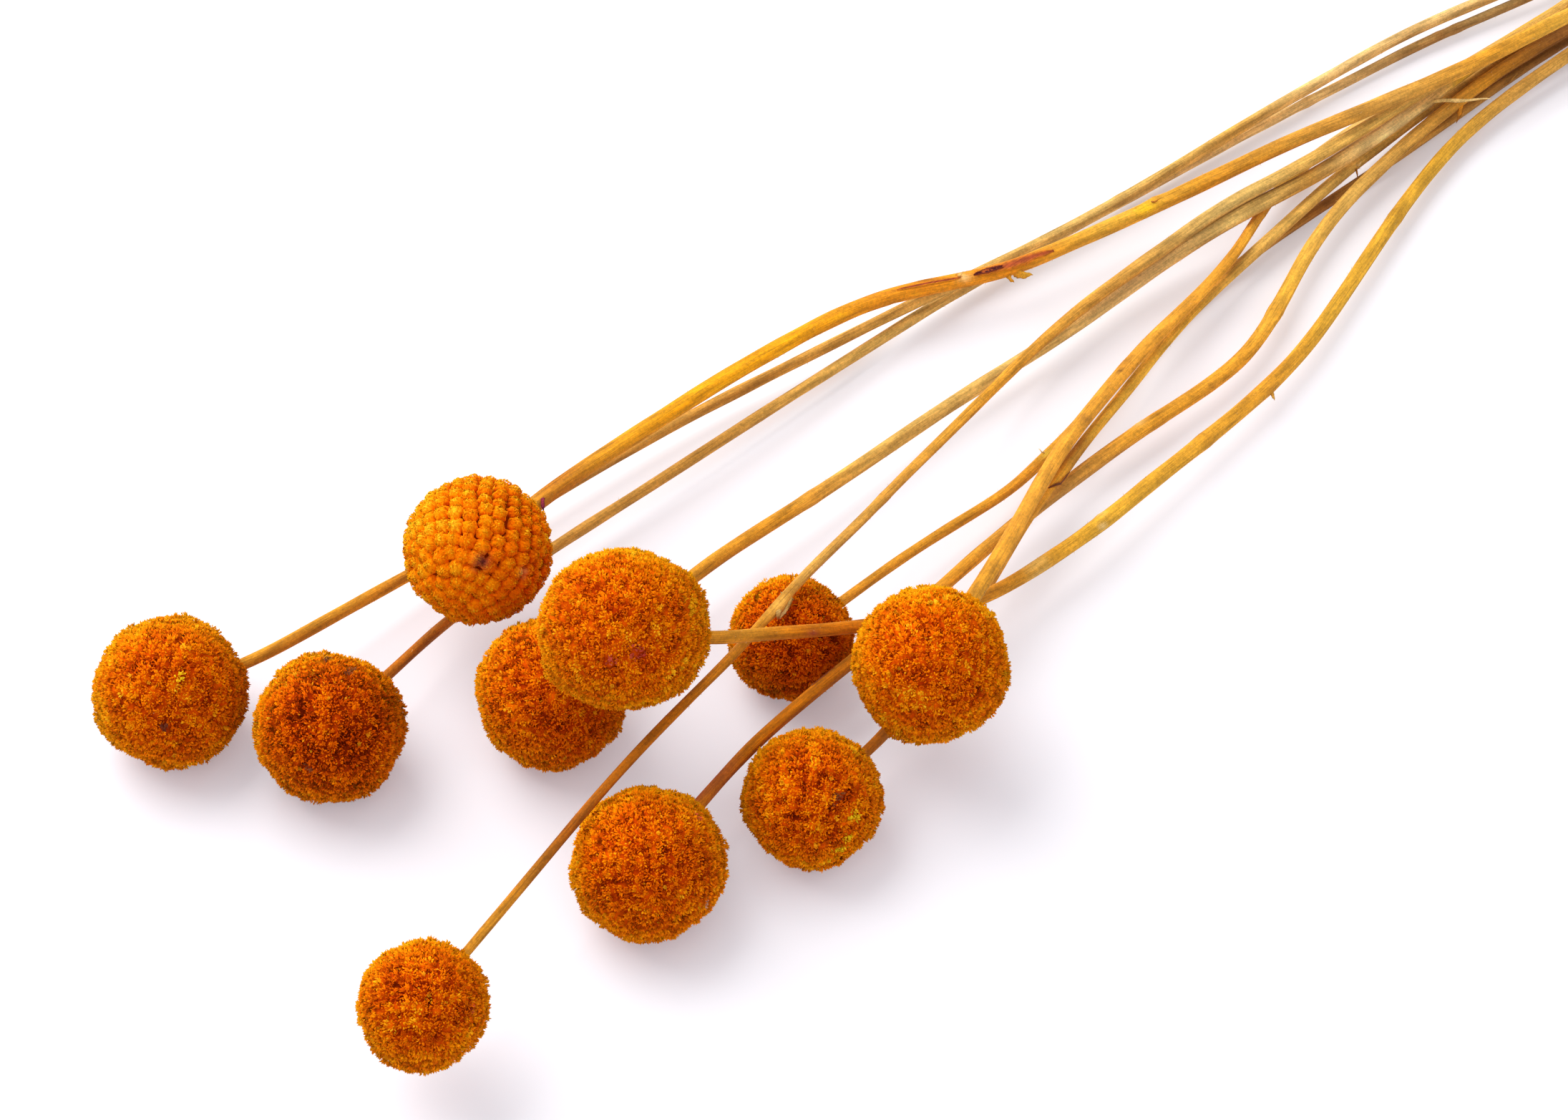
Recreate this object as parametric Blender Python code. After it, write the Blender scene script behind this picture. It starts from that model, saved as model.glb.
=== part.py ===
"""Ten dried billy buttons lying on a table, their stems gathered under a twine tie.

Each flower head is one round body whose whole surface is raised into florets.
The florets follow the spiral lattice of a real head, and the spirals start at the crown.
Each stem is one tapering rod that ends in a socket in its own head.
The stems are laid down one after another, and a later stem climbs over those it crosses.

Lengths in the tables are millimetres, and MM turns them into metres for the meshes.
In the tables +X runs from the heads to the cut ends, +Y is across the bunch and +Z is up.
The finished bunch is moved so that the origin is under the middle of its box.
"""

import math

import bmesh
import bpy
import numpy as np
from mathutils import Matrix, Vector

MM = 0.001

# Heads
FLORET_PITCH = 3.25
PIT_DEPTH = 0.075
TIP_JITTER = 0.022
LUMP_HEIGHT = 0.02
LUMP_WAVES = 3
LUMP_RATE = 2.2
SOCKET_DEPTH = 3.2
SOCKET_GAP = 0.3
SOCKET_SIDES = 12
GOLDEN_TURN = math.pi * (3.0 - math.sqrt(5.0))

# Stems
STEM_SIDES = 7
STEM_STATIONS = 40
BEND_WEIGHT = 55.0
TURN_SMOOTHING = 3.0
SAMPLE_STEP = 1.0
THIN_END = 0.93
THICK_END = 1.06
STEM_CLEARANCE = 0.5
ARCH_STIFFNESS = 0.009
ARCH_SMOOTHING = 4.0
BEND_SMOOTHING = 2.5
LIFT_MARGIN = 0.15

# Tie
TIE_X = 228.0
TIE_Y = 1.0
TWINE_RADIUS = 0.8
TWINE_TURNS = 4
TIE_GAP = 0.3
TIE_STATIONS = 26
TIE_STRAIGHT = 8.0
ROW_STEP = 2.8
ROW_RISE = 2.45
ROW_BOTTOM = TIE_GAP + 2 * TWINE_RADIUS + 1.25
KNOT_RADIUS = 2.1
KNOT_SHAPE = (1.25, 0.9, 0.75)
KNOT_RAISE = 0.3

# Cut ends
CUT_HEIGHT = 1.6
FAN_RATE = 0.01

# Each head: centre x, y and z, and the radius over the florets. Heads 01, 02, 05, 06, 08 and 09
# rest on the table: their centres are 1.2 lower than their radii, so a small flat forms below.
HEADS = {
    "head_01": ((-90.8, 32.8, 10.1), 11.3),
    "head_02": ((-76.4, 12.1, 9.9), 11.1),
    "head_03": ((-43.0, 19.7, 17.7), 11.0),
    "head_04": ((-41.8, -14.2, 31.0), 12.3),
    "head_05": ((-47.4, -3.6, 10.1), 11.3),
    "head_06": ((-13.1, -17.5, 8.3), 9.5),
    "head_07": ((-6.5, -40.7, 19.7), 11.4),
    "head_08": ((-30.0, -41.9, 8.9), 10.1),
    "head_09": ((-55.6, -36.2, 9.9), 11.1),
    "head_10": ((-95.4, -37.7, 16.0), 9.1),
}


def tie_row(row, place):
    """A stem's place inside the tie: y from its place in the row, z from the row."""
    return TIE_Y + place * ROW_STEP, ROW_BOTTOM + row * ROW_RISE


# Each stem in the order of laying, the lowest first. Its route starts just outside its head.
# tie is its row and place under the twine, and end is the x of its cut. It climbs over
# the heads named in over and over every stem laid before it, bar those named in under.
STEMS = {
    "stem_02": dict(
        radius=1.0, tie=(0, 2.0), end=318.0, over=(), under=(),
        route=[(-62, 15.6, 9.4), (-56, 17.8, 7.6), (-49.6, 19.9, 6.0), (-40, 21.3, 4.9),
               (-27, 22.0, 4.6), (-8, 22.3, 4.3), (12, 23.0, 3.8), (32, 23.6, 3.0),
               (50, 24.2, 2.3), (63, 24.0, 2.0), (83, 23.0, 1.8), (103, 21.8, 1.6),
               (123, 20.4, 1.6), (143, 18.6, 1.6), (163, 16.6, 1.7), (182, 13.0, 2.2)]),
    "stem_01": dict(
        radius=1.15, tie=(1, 1.5), end=312.0, over=(), under=(),
        route=[(-78, 29.9, 9.6), (-60, 30.2, 8.0), (-49, 30.6, 6.5), (-36, 30.7, 5.2),
               (-18, 30.7, 4.4), (2, 30.2, 4.1), (22, 28.4, 4.0), (42, 25.9, 4.4),
               (53, 24.3, 4.9), (66, 22.9, 4.6), (82, 21.4, 4.4), (102, 20.7, 4.0),
               (122, 20.3, 4.0), (142, 19.6, 3.7), (157, 19.2, 3.2), (167, 18.1, 3.3),
               (176, 16.1, 3.6)]),
    "stem_06": dict(
        radius=1.0, tie=(0, -1.0), end=309.0, over=(), under=(),
        route=[(1.5, -16.4, 7.8), (12.3, -15.4, 6.6), (23.8, -15.0, 5.4), (32.9, -14.9, 4.6),
               (37.2, -14.2, 4.0), (44.3, -12.4, 3.3), (51.1, -11.1, 3.0), (57.1, -9.5, 2.8),
               (64.6, -7.0, 2.6), (76, -4.1, 2.3), (88, -2.2, 1.9), (106, -0.7, 1.5),
               (123, -0.5, 1.5), (138, -0.3, 1.5), (153, 0.1, 1.5), (165, 0.5, 1.6),
               (178, 0.5, 1.9)]),
    "stem_09": dict(
        radius=1.1, tie=(1, -0.5), end=316.0, over=(), under=(),
        route=[(-41.5, -32.4, 10.1), (-30.8, -30.0, 10.5), (-22, -29.2, 11.0), (-11.9, -28.3, 11.4),
               (0, -26.9, 10.0), (12, -24.4, 8.2), (20.7, -22.5, 6.8), (27.6, -21.2, 5.6),
               (35.6, -20.2, 4.6), (42.3, -19.5, 4.4), (51.1, -19.2, 4.4), (57.5, -18.8, 4.4),
               (68, -18.9, 4.1), (77.3, -18.6, 3.6), (84.4, -17.6, 3.4), (92.5, -14.7, 3.2),
               (99.5, -11.6, 3.2), (107.3, -8.0, 3.4), (114.1, -5.7, 3.7), (122, -3.6, 4.0),
               (137, -1.2, 4.1), (152, 0.5, 4.1), (167, 1.2, 4.4), (182, 0.0, 5.4)]),
    "stem_08": dict(
        radius=1.1, tie=(0, 0.0), end=324.0, over=(), under=("stem_09",),
        route=[(-18, -40.6, 8.2), (-12.5, -39.2, 7.4), (-3, -36.0, 6.7), (8, -31.9, 6.8),
               (18, -27.8, 7.2), (30.3, -22.5, 7.9), (34.6, -21.0, 7.8), (38.7, -19.8, 7.5),
               (43, -18.3, 7.0), (48.8, -15.8, 5.8), (55, -13.8, 5.2), (60.8, -12.0, 4.8),
               (65.5, -10.6, 4.4), (72, -8.3, 4.0), (82.3, -5.3, 3.5), (92.2, -3.6, 3.7),
               (102, -2.2, 4.0), (112, -0.9, 3.7), (122, 0.9, 3.2), (132.8, 2.5, 2.6),
               (143, 3.4, 2.4), (153, 4.0, 2.4), (166, 3.8, 2.6), (184, 2.5, 3.0)]),
    "stem_07": dict(
        radius=1.15, tie=(0, 1.0), end=306.0, over=(), under=(),
        route=[(7.6, -34.0, 16.6), (17.1, -29.7, 14.6), (24.5, -25.7, 12.6), (30.9, -22.4, 11.0),
               (38.3, -18.7, 9.8), (45.1, -15.5, 8.6), (53.1, -12.9, 7.9), (61.1, -10.3, 7.4),
               (70.7, -7.7, 6.8), (80.8, -5.8, 6.5), (90.8, -3.6, 6.3), (98.1, -1.3, 5.8),
               (105.8, 2.4, 4.6), (113.4, 5.6, 3.1), (121, 7.6, 2.3), (130.1, 8.6, 2.0),
               (143.3, 8.8, 1.9), (158.1, 7.7, 1.9), (171.5, 7.0, 2.0), (186, 6.5, 2.3)]),
    "stem_05": dict(
        radius=1.2, tie=(1, 0.5), end=303.0, over=(), under=(),
        route=[(-32, -1.1, 9.0), (-17, 1.5, 8.0), (-9.7, 2.3, 7.4), (10.8, 2.9, 6.2),
               (26.3, 3.9, 5.2), (41.6, 4.7, 4.4), (51.7, 4.6, 4.2), (62, 4.6, 4.0),
               (72, 5.1, 3.9), (81.8, 5.4, 4.3), (91.2, 5.0, 5.6), (100.5, 3.8, 6.8),
               (110.6, 2.7, 7.0), (120.5, 2.3, 6.5), (131.1, 2.6, 5.9), (141.4, 3.0, 5.4),
               (151.5, 3.8, 5.2), (166, 4.6, 5.2), (184, 4.0, 5.4)]),
    "stem_10": dict(
        radius=0.95, tie=(2, 0.07), end=321.0, over=("head_09", "head_06"), under=(),
        route=[(-85.5, -35.0, 16.5), (-76.9, -32.8, 17.3), (-62.4, -28.9, 18.2), (-45.7, -24.3, 18.3),
               (-35.9, -22.1, 18.2), (-26, -20.3, 18.0), (-15.4, -17.7, 17.6), (-4.9, -14.5, 16.4),
               (5.8, -11.2, 15.2), (16.6, -8.0, 13.8), (27.4, -5.0, 12.2), (38.8, -1.8, 10.3),
               (50.3, 1.7, 8.2), (57.7, 3.5, 7.2), (66, 4.9, 6.9), (76.3, 5.6, 7.0),
               (91, 5.5, 8.0), (101, 5.3, 9.0), (110, 4.2, 9.4), (119.5, 3.9, 8.9),
               (130.2, 3.8, 8.3), (140, 3.9, 7.9), (150, 3.7, 7.8), (165, 3.3, 7.9),
               (184, 2.2, 8.0)]),
    "stem_04": dict(
        radius=1.2, tie=(1, -1.5), end=328.0, over=("head_06",), under=("stem_07",),
        route=[(-31.4, -20.0, 25.9), (-29.2, -20.4, 24.5), (-21.7, -21.4, 20.3), (-15.0, -23.9, 18.0),
               (-5.8, -26.8, 14.6), (4.6, -29.8, 11.8), (15.6, -31.3, 9.3), (19.7, -31.2, 8.7), (30.2, -30.8, 7.6),
               (40.6, -30.1, 6.8), (51, -28.7, 6.0), (63.5, -27.5, 5.2), (76.8, -25.9, 4.5),
               (87.1, -24.1, 4.0), (97.3, -21.2, 3.5), (107.5, -17.6, 3.2), (117.5, -14.0, 3.2),
               (127.6, -10.5, 3.0), (137.6, -7.5, 3.0), (147.6, -5.1, 3.0), (157.5, -3.9, 3.2),
               (167.3, -3.6, 3.6), (180, -3.6, 4.2)]),
    "stem_03": dict(
        radius=1.4, tie=(2, -1.07), end=300.0, over=(), under=(),
        route=[(-29.5, 22.9, 15.9), (-18.4, 24.5, 14.6), (-2.6, 26.1, 13.0), (9.9, 26.9, 12.0),
               (23.4, 27.2, 11.0), (34, 27.2, 10.0), (44.5, 25.7, 9.0), (49.7, 23.8, 8.6),
               (54.8, 21.9, 8.3), (60, 19.7, 8.0), (65.2, 18.1, 7.8), (70.3, 17.3, 7.7),
               (80.5, 15.7, 7.6), (90.6, 14.0, 7.7), (100.4, 12.3, 8.2), (110, 10.3, 9.3),
               (120, 8.1, 10.6), (129.4, 5.7, 11.2), (138.8, 4.0, 11.2), (148.6, 2.3, 11.0),
               (159, 0.8, 11.0), (170, 0.0, 10.8), (182, -1.0, 10.4)]),
}

# Surface of each piece: base colour, roughness.
HEAD_FINISH = {
    "head_01": ((0.62, 0.20, 0.012), 0.95),
    "head_02": ((0.45, 0.12, 0.008), 0.95),
    "head_03": ((0.70, 0.26, 0.020), 0.90),
    "head_04": ((0.66, 0.23, 0.015), 0.95),
    "head_05": ((0.50, 0.15, 0.010), 0.95),
    "head_06": ((0.46, 0.13, 0.008), 0.95),
    "head_07": ((0.66, 0.23, 0.015), 0.95),
    "head_08": ((0.58, 0.19, 0.012), 0.95),
    "head_09": ((0.58, 0.18, 0.012), 0.95),
    "head_10": ((0.62, 0.20, 0.014), 0.95),
}
STEM_FINISH = {
    "stem_01": ((0.33, 0.20, 0.06), 0.75),
    "stem_02": ((0.36, 0.25, 0.09), 0.80),
    "stem_03": ((0.66, 0.34, 0.06), 0.65),
    "stem_04": ((0.58, 0.33, 0.04), 0.65),
    "stem_05": ((0.43, 0.30, 0.10), 0.75),
    "stem_06": ((0.38, 0.22, 0.07), 0.75),
    "stem_07": ((0.56, 0.28, 0.06), 0.65),
    "stem_08": ((0.38, 0.22, 0.06), 0.75),
    "stem_09": ((0.50, 0.29, 0.07), 0.70),
    "stem_10": ((0.46, 0.29, 0.09), 0.75),
}
TIE_FINISH = ((0.42, 0.31, 0.19), 0.9)


def clear_scene():
    """Remove every object that the new scene starts with."""
    for old in list(bpy.data.objects):
        bpy.data.objects.remove(old, do_unlink=True)


def make_material(name, finish):
    """A plain Principled material from a base colour and a roughness."""
    colour, roughness = finish
    material = bpy.data.materials.new(name)
    material.use_nodes = True
    shader = material.node_tree.nodes["Principled BSDF"]
    shader.inputs["Base Color"].default_value = (*colour, 1.0)
    shader.inputs["Roughness"].default_value = roughness
    shader.inputs["Metallic"].default_value = 0.0
    return material


def make_object(name, points, faces, finish, parent, smooth=True):
    """Put points in millimetres and their faces into a new named object in metres."""
    mesh = bpy.data.meshes.new(name)
    mesh.from_pydata((np.asarray(points) * MM).tolist(), [], faces)
    mesh.materials.append(make_material(name, finish))
    if smooth:
        mesh.shade_smooth()
    piece = bpy.data.objects.new(name, mesh)
    bpy.context.collection.objects.link(piece)
    piece.parent = parent
    return piece


def smooth_curve(points, step):
    """Cubic pieces through the points, each point's slope taken from its two neighbours."""
    points = np.asarray(points, float)
    t = np.concatenate([[0.0], np.cumsum(np.linalg.norm(np.diff(points, axis=0), axis=1))])
    slope = np.empty_like(points)
    slope[1:-1] = (points[2:] - points[:-2]) / (t[2:] - t[:-2])[:, None]
    slope[0] = (points[1] - points[0]) / (t[1] - t[0])
    slope[-1] = (points[-1] - points[-2]) / (t[-1] - t[-2])
    at = np.linspace(0.0, t[-1], int(t[-1] / step) + 1)
    piece = np.clip(np.searchsorted(t, at, side="right") - 1, 0, len(t) - 2)
    span = (t[piece + 1] - t[piece])[:, None]
    u = ((at - t[piece])[:, None]) / span
    return ((2 * u**3 - 3 * u**2 + 1) * points[piece] + (u**3 - 2 * u**2 + u) * span * slope[piece]
            + (3 * u**2 - 2 * u**3) * points[piece + 1] + (u**3 - u**2) * span * slope[piece + 1])


def blur(values, sigma):
    """Gaussian smoothing along a curve whose ends carry on in a straight line."""
    reach = int(math.ceil(3 * sigma))
    weights = np.exp(-0.5 * (np.arange(-reach, reach + 1) / sigma) ** 2)
    weights /= weights.sum()
    head = 2 * values[0] - values[reach:0:-1]
    tail = 2 * values[-1] - values[-2:-reach - 2:-1]
    return np.convolve(np.concatenate([head, values, tail]), weights, mode="valid")


def arc_lengths(path):
    """Distance along a path to each of its points."""
    return np.concatenate([[0.0], np.cumsum(np.linalg.norm(np.diff(path, axis=0), axis=1))])


def stem_radii(path, radius):
    """Radius along a stem, thin at the head and thick at the cut end."""
    along = arc_lengths(path)
    return radius * (THIN_END + (THICK_END - THIN_END) * along / along[-1])


def height_over(path, reach, centres):
    """Least z at each path point that keeps the given reach from every centre below it."""
    flat = ((path[:, None, :2] - centres[None, :, :2]) ** 2).sum(-1)
    rise = np.sqrt(np.maximum(reach**2 - flat, 0.0))
    needed = np.where(flat < reach**2, centres[None, :, 2] + rise, -1e9)
    return needed.max(axis=1)


def lay_stem(name, stem, laid):
    """The stem's centre line, lifted in long low arches over what is already under it."""
    (x, y, z), head_radius = HEADS["head_" + name[-2:]]
    centre = np.array([x, y, z])
    first = np.array(stem["route"][0], float)
    out = (first - centre) / np.linalg.norm(first - centre)
    root = centre + out * (head_radius - SOCKET_DEPTH + SOCKET_GAP)
    mouth = centre + out * head_radius
    row_y, row_z = tie_row(*stem["tie"])
    tied = [(TIE_X + shift, row_y, row_z) for shift in (-TIE_STRAIGHT, 0.0, TIE_STRAIGHT)]
    fan = 1 + FAN_RATE * (stem["end"] - TIE_X)
    low = CUT_HEIGHT + stem["tie"][0] * ROW_RISE
    cut = [(stem["end"], TIE_Y + (row_y - TIE_Y) * fan, low)]
    path = smooth_curve([root, mouth] + stem["route"] + tied + cut, SAMPLE_STEP)
    path[:, 1] = blur(path[:, 1], BEND_SMOOTHING)
    radii = stem_radii(path, stem["radius"])
    needed = np.full(len(path), -1e9)
    for other_name, (other, other_radii) in laid.items():
        if other_name in stem["under"]:
            continue
        reach = (radii[:, None] + other_radii[None, :] + STEM_CLEARANCE)
        needed = np.maximum(needed, height_over(path, reach, other))
    for head in stem["over"]:
        ball, ball_radius = HEADS[head]
        reach = radii[:, None] + ball_radius + STEM_CLEARANCE
        needed = np.maximum(needed, height_over(path, reach, np.array([ball])))
    along = arc_lengths(path)
    lift = needed - path[:, 2] + LIFT_MARGIN
    arches = lift[None, :] - ARCH_STIFFNESS * (along[:, None] - along[None, :]) ** 2
    path[:, 2] = blur(path[:, 2] + np.maximum(arches.max(axis=1), 0.0), ARCH_SMOOTHING)
    return path, radii


def pick_stations(path, count):
    """Points of a dense path, closer together where the path bends."""
    step = np.diff(path, axis=0)
    length = np.linalg.norm(step, axis=1)
    unit = step / length[:, None]
    turn = np.zeros(len(path))
    turn[1:-1] = np.linalg.norm(np.diff(unit, axis=0), axis=1) / length[1:]
    weight = 1 + BEND_WEIGHT * np.sqrt(blur(turn, TURN_SMOOTHING).clip(0)) ** 1.5
    total = np.concatenate([[0.0], np.cumsum(0.5 * (weight[1:] + weight[:-1]) * length)])
    places = np.interp(np.linspace(0, total[-1], count), total, np.arange(len(path)))
    return np.stack([np.interp(places, np.arange(len(path)), path[:, k]) for k in range(3)], -1)


def sweep_rings(path, radii, sides):
    """Rings of points round a path, kept from twisting by a fixed sideways direction."""
    tangent = np.gradient(path, axis=0)
    tangent /= np.linalg.norm(tangent, axis=1)[:, None]
    across = np.cross(np.array([0.0, 0.0, 1.0]), tangent)
    across /= np.linalg.norm(across, axis=1)[:, None]
    upward = np.cross(tangent, across)
    angle = 2 * math.pi * (np.arange(sides) + 0.5) / sides
    ring = (np.cos(angle)[None, :, None] * across[:, None, :]
            + np.sin(angle)[None, :, None] * upward[:, None, :])
    return path[:, None, :] + radii[:, None, None] * ring


def tube_faces(stations, sides, closed=False):
    """Triangles that join neighbouring rings, with a flat cap at each end of an open tube."""
    faces = []
    for i in range(stations if closed else stations - 1):
        for j in range(sides):
            a = i * sides + j
            b = i * sides + (j + 1) % sides
            c = ((i + 1) % stations) * sides + (j + 1) % sides
            d = ((i + 1) % stations) * sides + j
            faces += [(a, b, c), (a, c, d)]
    if not closed:
        last = (stations - 1) * sides
        faces += [(0, j + 1, j) for j in range(1, sides - 1)]
        faces += [(last, last + j, last + j + 1) for j in range(1, sides - 1)]
    return faces


def make_stem(name, path, radii, parent):
    """One stem as a faceted rod along its laid path."""
    stations = pick_stations(path, STEM_STATIONS)
    widths = stem_radii(stations, radii[0] / THIN_END)
    rings = sweep_rings(stations, widths, STEM_SIDES)
    points = rings.reshape(-1, 3)
    return make_object(name, points, tube_faces(len(stations), STEM_SIDES), STEM_FINISH[name], parent)


def spiral_lattice(count, crown):
    """Points spread evenly over a unit ball in spirals that start at the crown."""
    order = np.arange(count)
    height = 1 - (2 * order + 1) / count
    ring = np.sqrt(1 - height**2)
    turn = order * GOLDEN_TURN
    local = np.stack([ring * np.cos(turn), ring * np.sin(turn), height], -1)
    pole = Vector((0, 0, 1)).rotation_difference(Vector(crown)).to_matrix()
    return local @ np.array(pole).T


def lumps(direction, seed):
    """Low swells over the ball: a mean of plane waves, added to 1."""
    random = np.random.default_rng(seed)
    waves = random.normal(size=(LUMP_WAVES, 3)) * LUMP_RATE
    phases = random.uniform(0, 2 * math.pi, LUMP_WAVES)
    return 1 + LUMP_HEIGHT * np.sin(direction @ waves.T + phases).mean(axis=1)


def floret_relief(radius, crown, seed):
    """A ball of raised florets: a tip on every lattice point and pits between each three.

    The hull of the lattice gives the neighbours. Each of its edges becomes two triangles
    that run from the pits on both sides of the edge up to the tips at its ends.
    """
    cell = FLORET_PITCH**2 * math.sin(math.pi / 3)
    count = int(4 * math.pi * radius**2 / cell)
    lattice = spiral_lattice(count, crown)
    hull = bmesh.new()
    for point in lattice:
        hull.verts.new(point)
    hull.verts.ensure_lookup_table()
    bmesh.ops.convex_hull(hull, input=hull.verts[:])
    bmesh.ops.triangulate(hull, faces=hull.faces[:])
    hull.verts.index_update()
    hull.faces.index_update()
    middles = np.array([face.calc_center_median()[:] for face in hull.faces])
    middles /= np.linalg.norm(middles, axis=1)[:, None]
    random = np.random.default_rng(seed)
    tips = lattice * (radius * (1 + TIP_JITTER * random.uniform(-1, 1, count)))[:, None]
    pits = middles * radius * (1 - PIT_DEPTH)
    points = np.concatenate([tips * lumps(lattice, seed)[:, None], pits * lumps(middles, seed)[:, None]])
    faces = []
    for edge in hull.edges:
        a, b = edge.verts[0].index, edge.verts[1].index
        left, right = (count + face.index for face in edge.link_faces)
        corner = (a, left, right)
        side = np.cross(points[left] - points[a], points[right] - points[a])
        if side @ points[a] < 0:
            left, right = right, left
            corner = (a, left, right)
        faces += [corner, (b, right, left)]
    hull.free()
    return points, faces


def make_socket_cutter(name, start, out, radius, parent):
    """A round peg along the stem's first stretch, which the head's Boolean cuts away."""
    mesh = bpy.data.meshes.new(name)
    peg = bmesh.new()
    bmesh.ops.create_cone(peg, cap_ends=True, segments=SOCKET_SIDES, radius1=radius * MM,
                          radius2=radius * MM, depth=3 * SOCKET_DEPTH * MM)
    peg.to_mesh(mesh)
    peg.free()
    cutter = bpy.data.objects.new(name, mesh)
    bpy.context.collection.objects.link(cutter)
    turn = Vector((0, 0, 1)).rotation_difference(Vector(out)).to_matrix().to_4x4()
    centre = Vector(start) + Vector(out) * (1.5 * SOCKET_DEPTH - SOCKET_GAP)
    cutter.matrix_world = Matrix.Translation(centre * MM) @ turn
    cutter.parent = parent
    cutter.hide_render = True
    cutter.display_type = "WIRE"
    return cutter


def make_head(name, path, stem_radius, parent):
    """One flower head with its florets, its resting flat and the socket for its stem."""
    centre, radius = HEADS[name]
    out = path[4] - path[0]
    out /= np.linalg.norm(out)
    points, faces = floret_relief(radius, -out, seed=int(name[-2:]))
    points[:, 2] = np.maximum(points[:, 2], -centre[2])
    head = make_object(name, points, faces, HEAD_FINISH[name], parent, smooth=False)
    head.location = Vector(centre) * MM
    cutter = make_socket_cutter("socket_" + name, path[0], out, stem_radius + SOCKET_GAP, parent)
    cut = head.modifiers.new("socket", "BOOLEAN")
    cut.operation = "DIFFERENCE"
    cut.solver = "EXACT"
    cut.object = cutter
    return head


def make_tie(paths, parent):
    """Four turns of twine as one band round the outline of the stems, with a knot on top."""
    rings = []
    for path, radii in paths.values():
        nearest = np.argmin(abs(path[:, 0] - TIE_X))
        rings.append((path[nearest, 1], path[nearest, 2], radii[nearest] + TIE_GAP))
    rings = np.array(rings)
    angle = 2 * math.pi * np.arange(TIE_STATIONS) / TIE_STATIONS
    normal = np.stack([np.cos(angle), np.sin(angle)], -1)
    outermost = np.argmax(normal @ rings[:, :2].T + rings[:, 2], axis=1)
    inner = rings[outermost, :2] + normal * rings[outermost, 2:]
    bulge = math.pi * np.arange(0, 3) / 3 + math.pi / 6
    profile = [(-TWINE_TURNS * TWINE_RADIUS, 0.0)]
    for turn in range(TWINE_TURNS):
        middle = (2 * turn + 1 - TWINE_TURNS) * TWINE_RADIUS
        for b in bulge[::-1]:
            profile.append((middle + TWINE_RADIUS * math.cos(b), TWINE_RADIUS * (1 + math.sin(b))))
    profile.append((TWINE_TURNS * TWINE_RADIUS, 0.0))
    profile = np.array(profile)
    sides = len(profile)
    points = np.empty((TIE_STATIONS, sides, 3))
    points[..., 0] = TIE_X + profile[None, :, 0]
    points[..., 1:] = inner[:, None, :] + normal[:, None, :] * profile[None, :, 1:]
    faces = tube_faces(TIE_STATIONS, sides, closed=True)
    points = points.reshape(-1, 3)
    points[:, 2] = np.maximum(points[:, 2], 0.0)
    tie = make_object("tie", points, faces, TIE_FINISH, parent, smooth=False)
    top = inner[TIE_STATIONS // 4]
    mesh = bpy.data.meshes.new("knot")
    ball = bmesh.new()
    bmesh.ops.create_icosphere(ball, subdivisions=2, radius=KNOT_RADIUS * MM)
    ball.to_mesh(mesh)
    ball.free()
    knot = bpy.data.objects.new("knot", mesh)
    bpy.context.collection.objects.link(knot)
    knot.location = Vector((TIE_X, top[0], top[1] + 2 * TWINE_RADIUS + KNOT_RAISE)) * MM
    knot.scale = KNOT_SHAPE
    knot.parent = parent
    knot.hide_render = True
    knot.display_type = "WIRE"
    join = tie.modifiers.new("knot", "BOOLEAN")
    join.operation = "UNION"
    join.solver = "EXACT"
    join.object = knot
    return tie


def centre_on_origin(parent, pieces):
    """Move the whole bunch so that the origin is under the middle of its box."""
    bpy.context.view_layer.update()
    corners = np.array([(p.matrix_world @ Vector(c))[:] for p in pieces for c in p.bound_box])
    middle = 0.5 * (corners.min(axis=0) + corners.max(axis=0))
    parent.location = (-middle[0], -middle[1], 0.0)
    bpy.context.view_layer.update()
    return middle


def build():
    """Lay the stems, then make the heads on them and the tie round them."""
    clear_scene()
    bunch = bpy.data.objects.new("bunch", None)
    bpy.context.collection.objects.link(bunch)
    paths = {}
    for name, stem in STEMS.items():
        paths[name] = lay_stem(name, stem, paths)
    pieces = [make_stem(name, *paths[name], bunch) for name in sorted(paths)]
    for name in sorted(HEADS):
        path, radii = paths["stem_" + name[-2:]]
        pieces.append(make_head(name, path, radii[0], bunch))
    pieces.append(make_tie(paths, bunch))
    middle = centre_on_origin(bunch, pieces)
    print("bunch moved by", [round(-1000 * float(v), 2) for v in middle[:2]], "mm")
    return paths


PATHS = build()
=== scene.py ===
# %% [markdown]
# # Dried billy buttons
# Ten dried flowers lie on a pale table. Each has one round head of hundreds of tiny florets on a
# long thin stalk, and a twine tie gathers the stalks near their cut ends.
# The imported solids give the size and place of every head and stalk. This file puts a finer surface
# in the place of each solid: it reads where the solid is, and never moves it.

# %% The frame
import math

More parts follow.
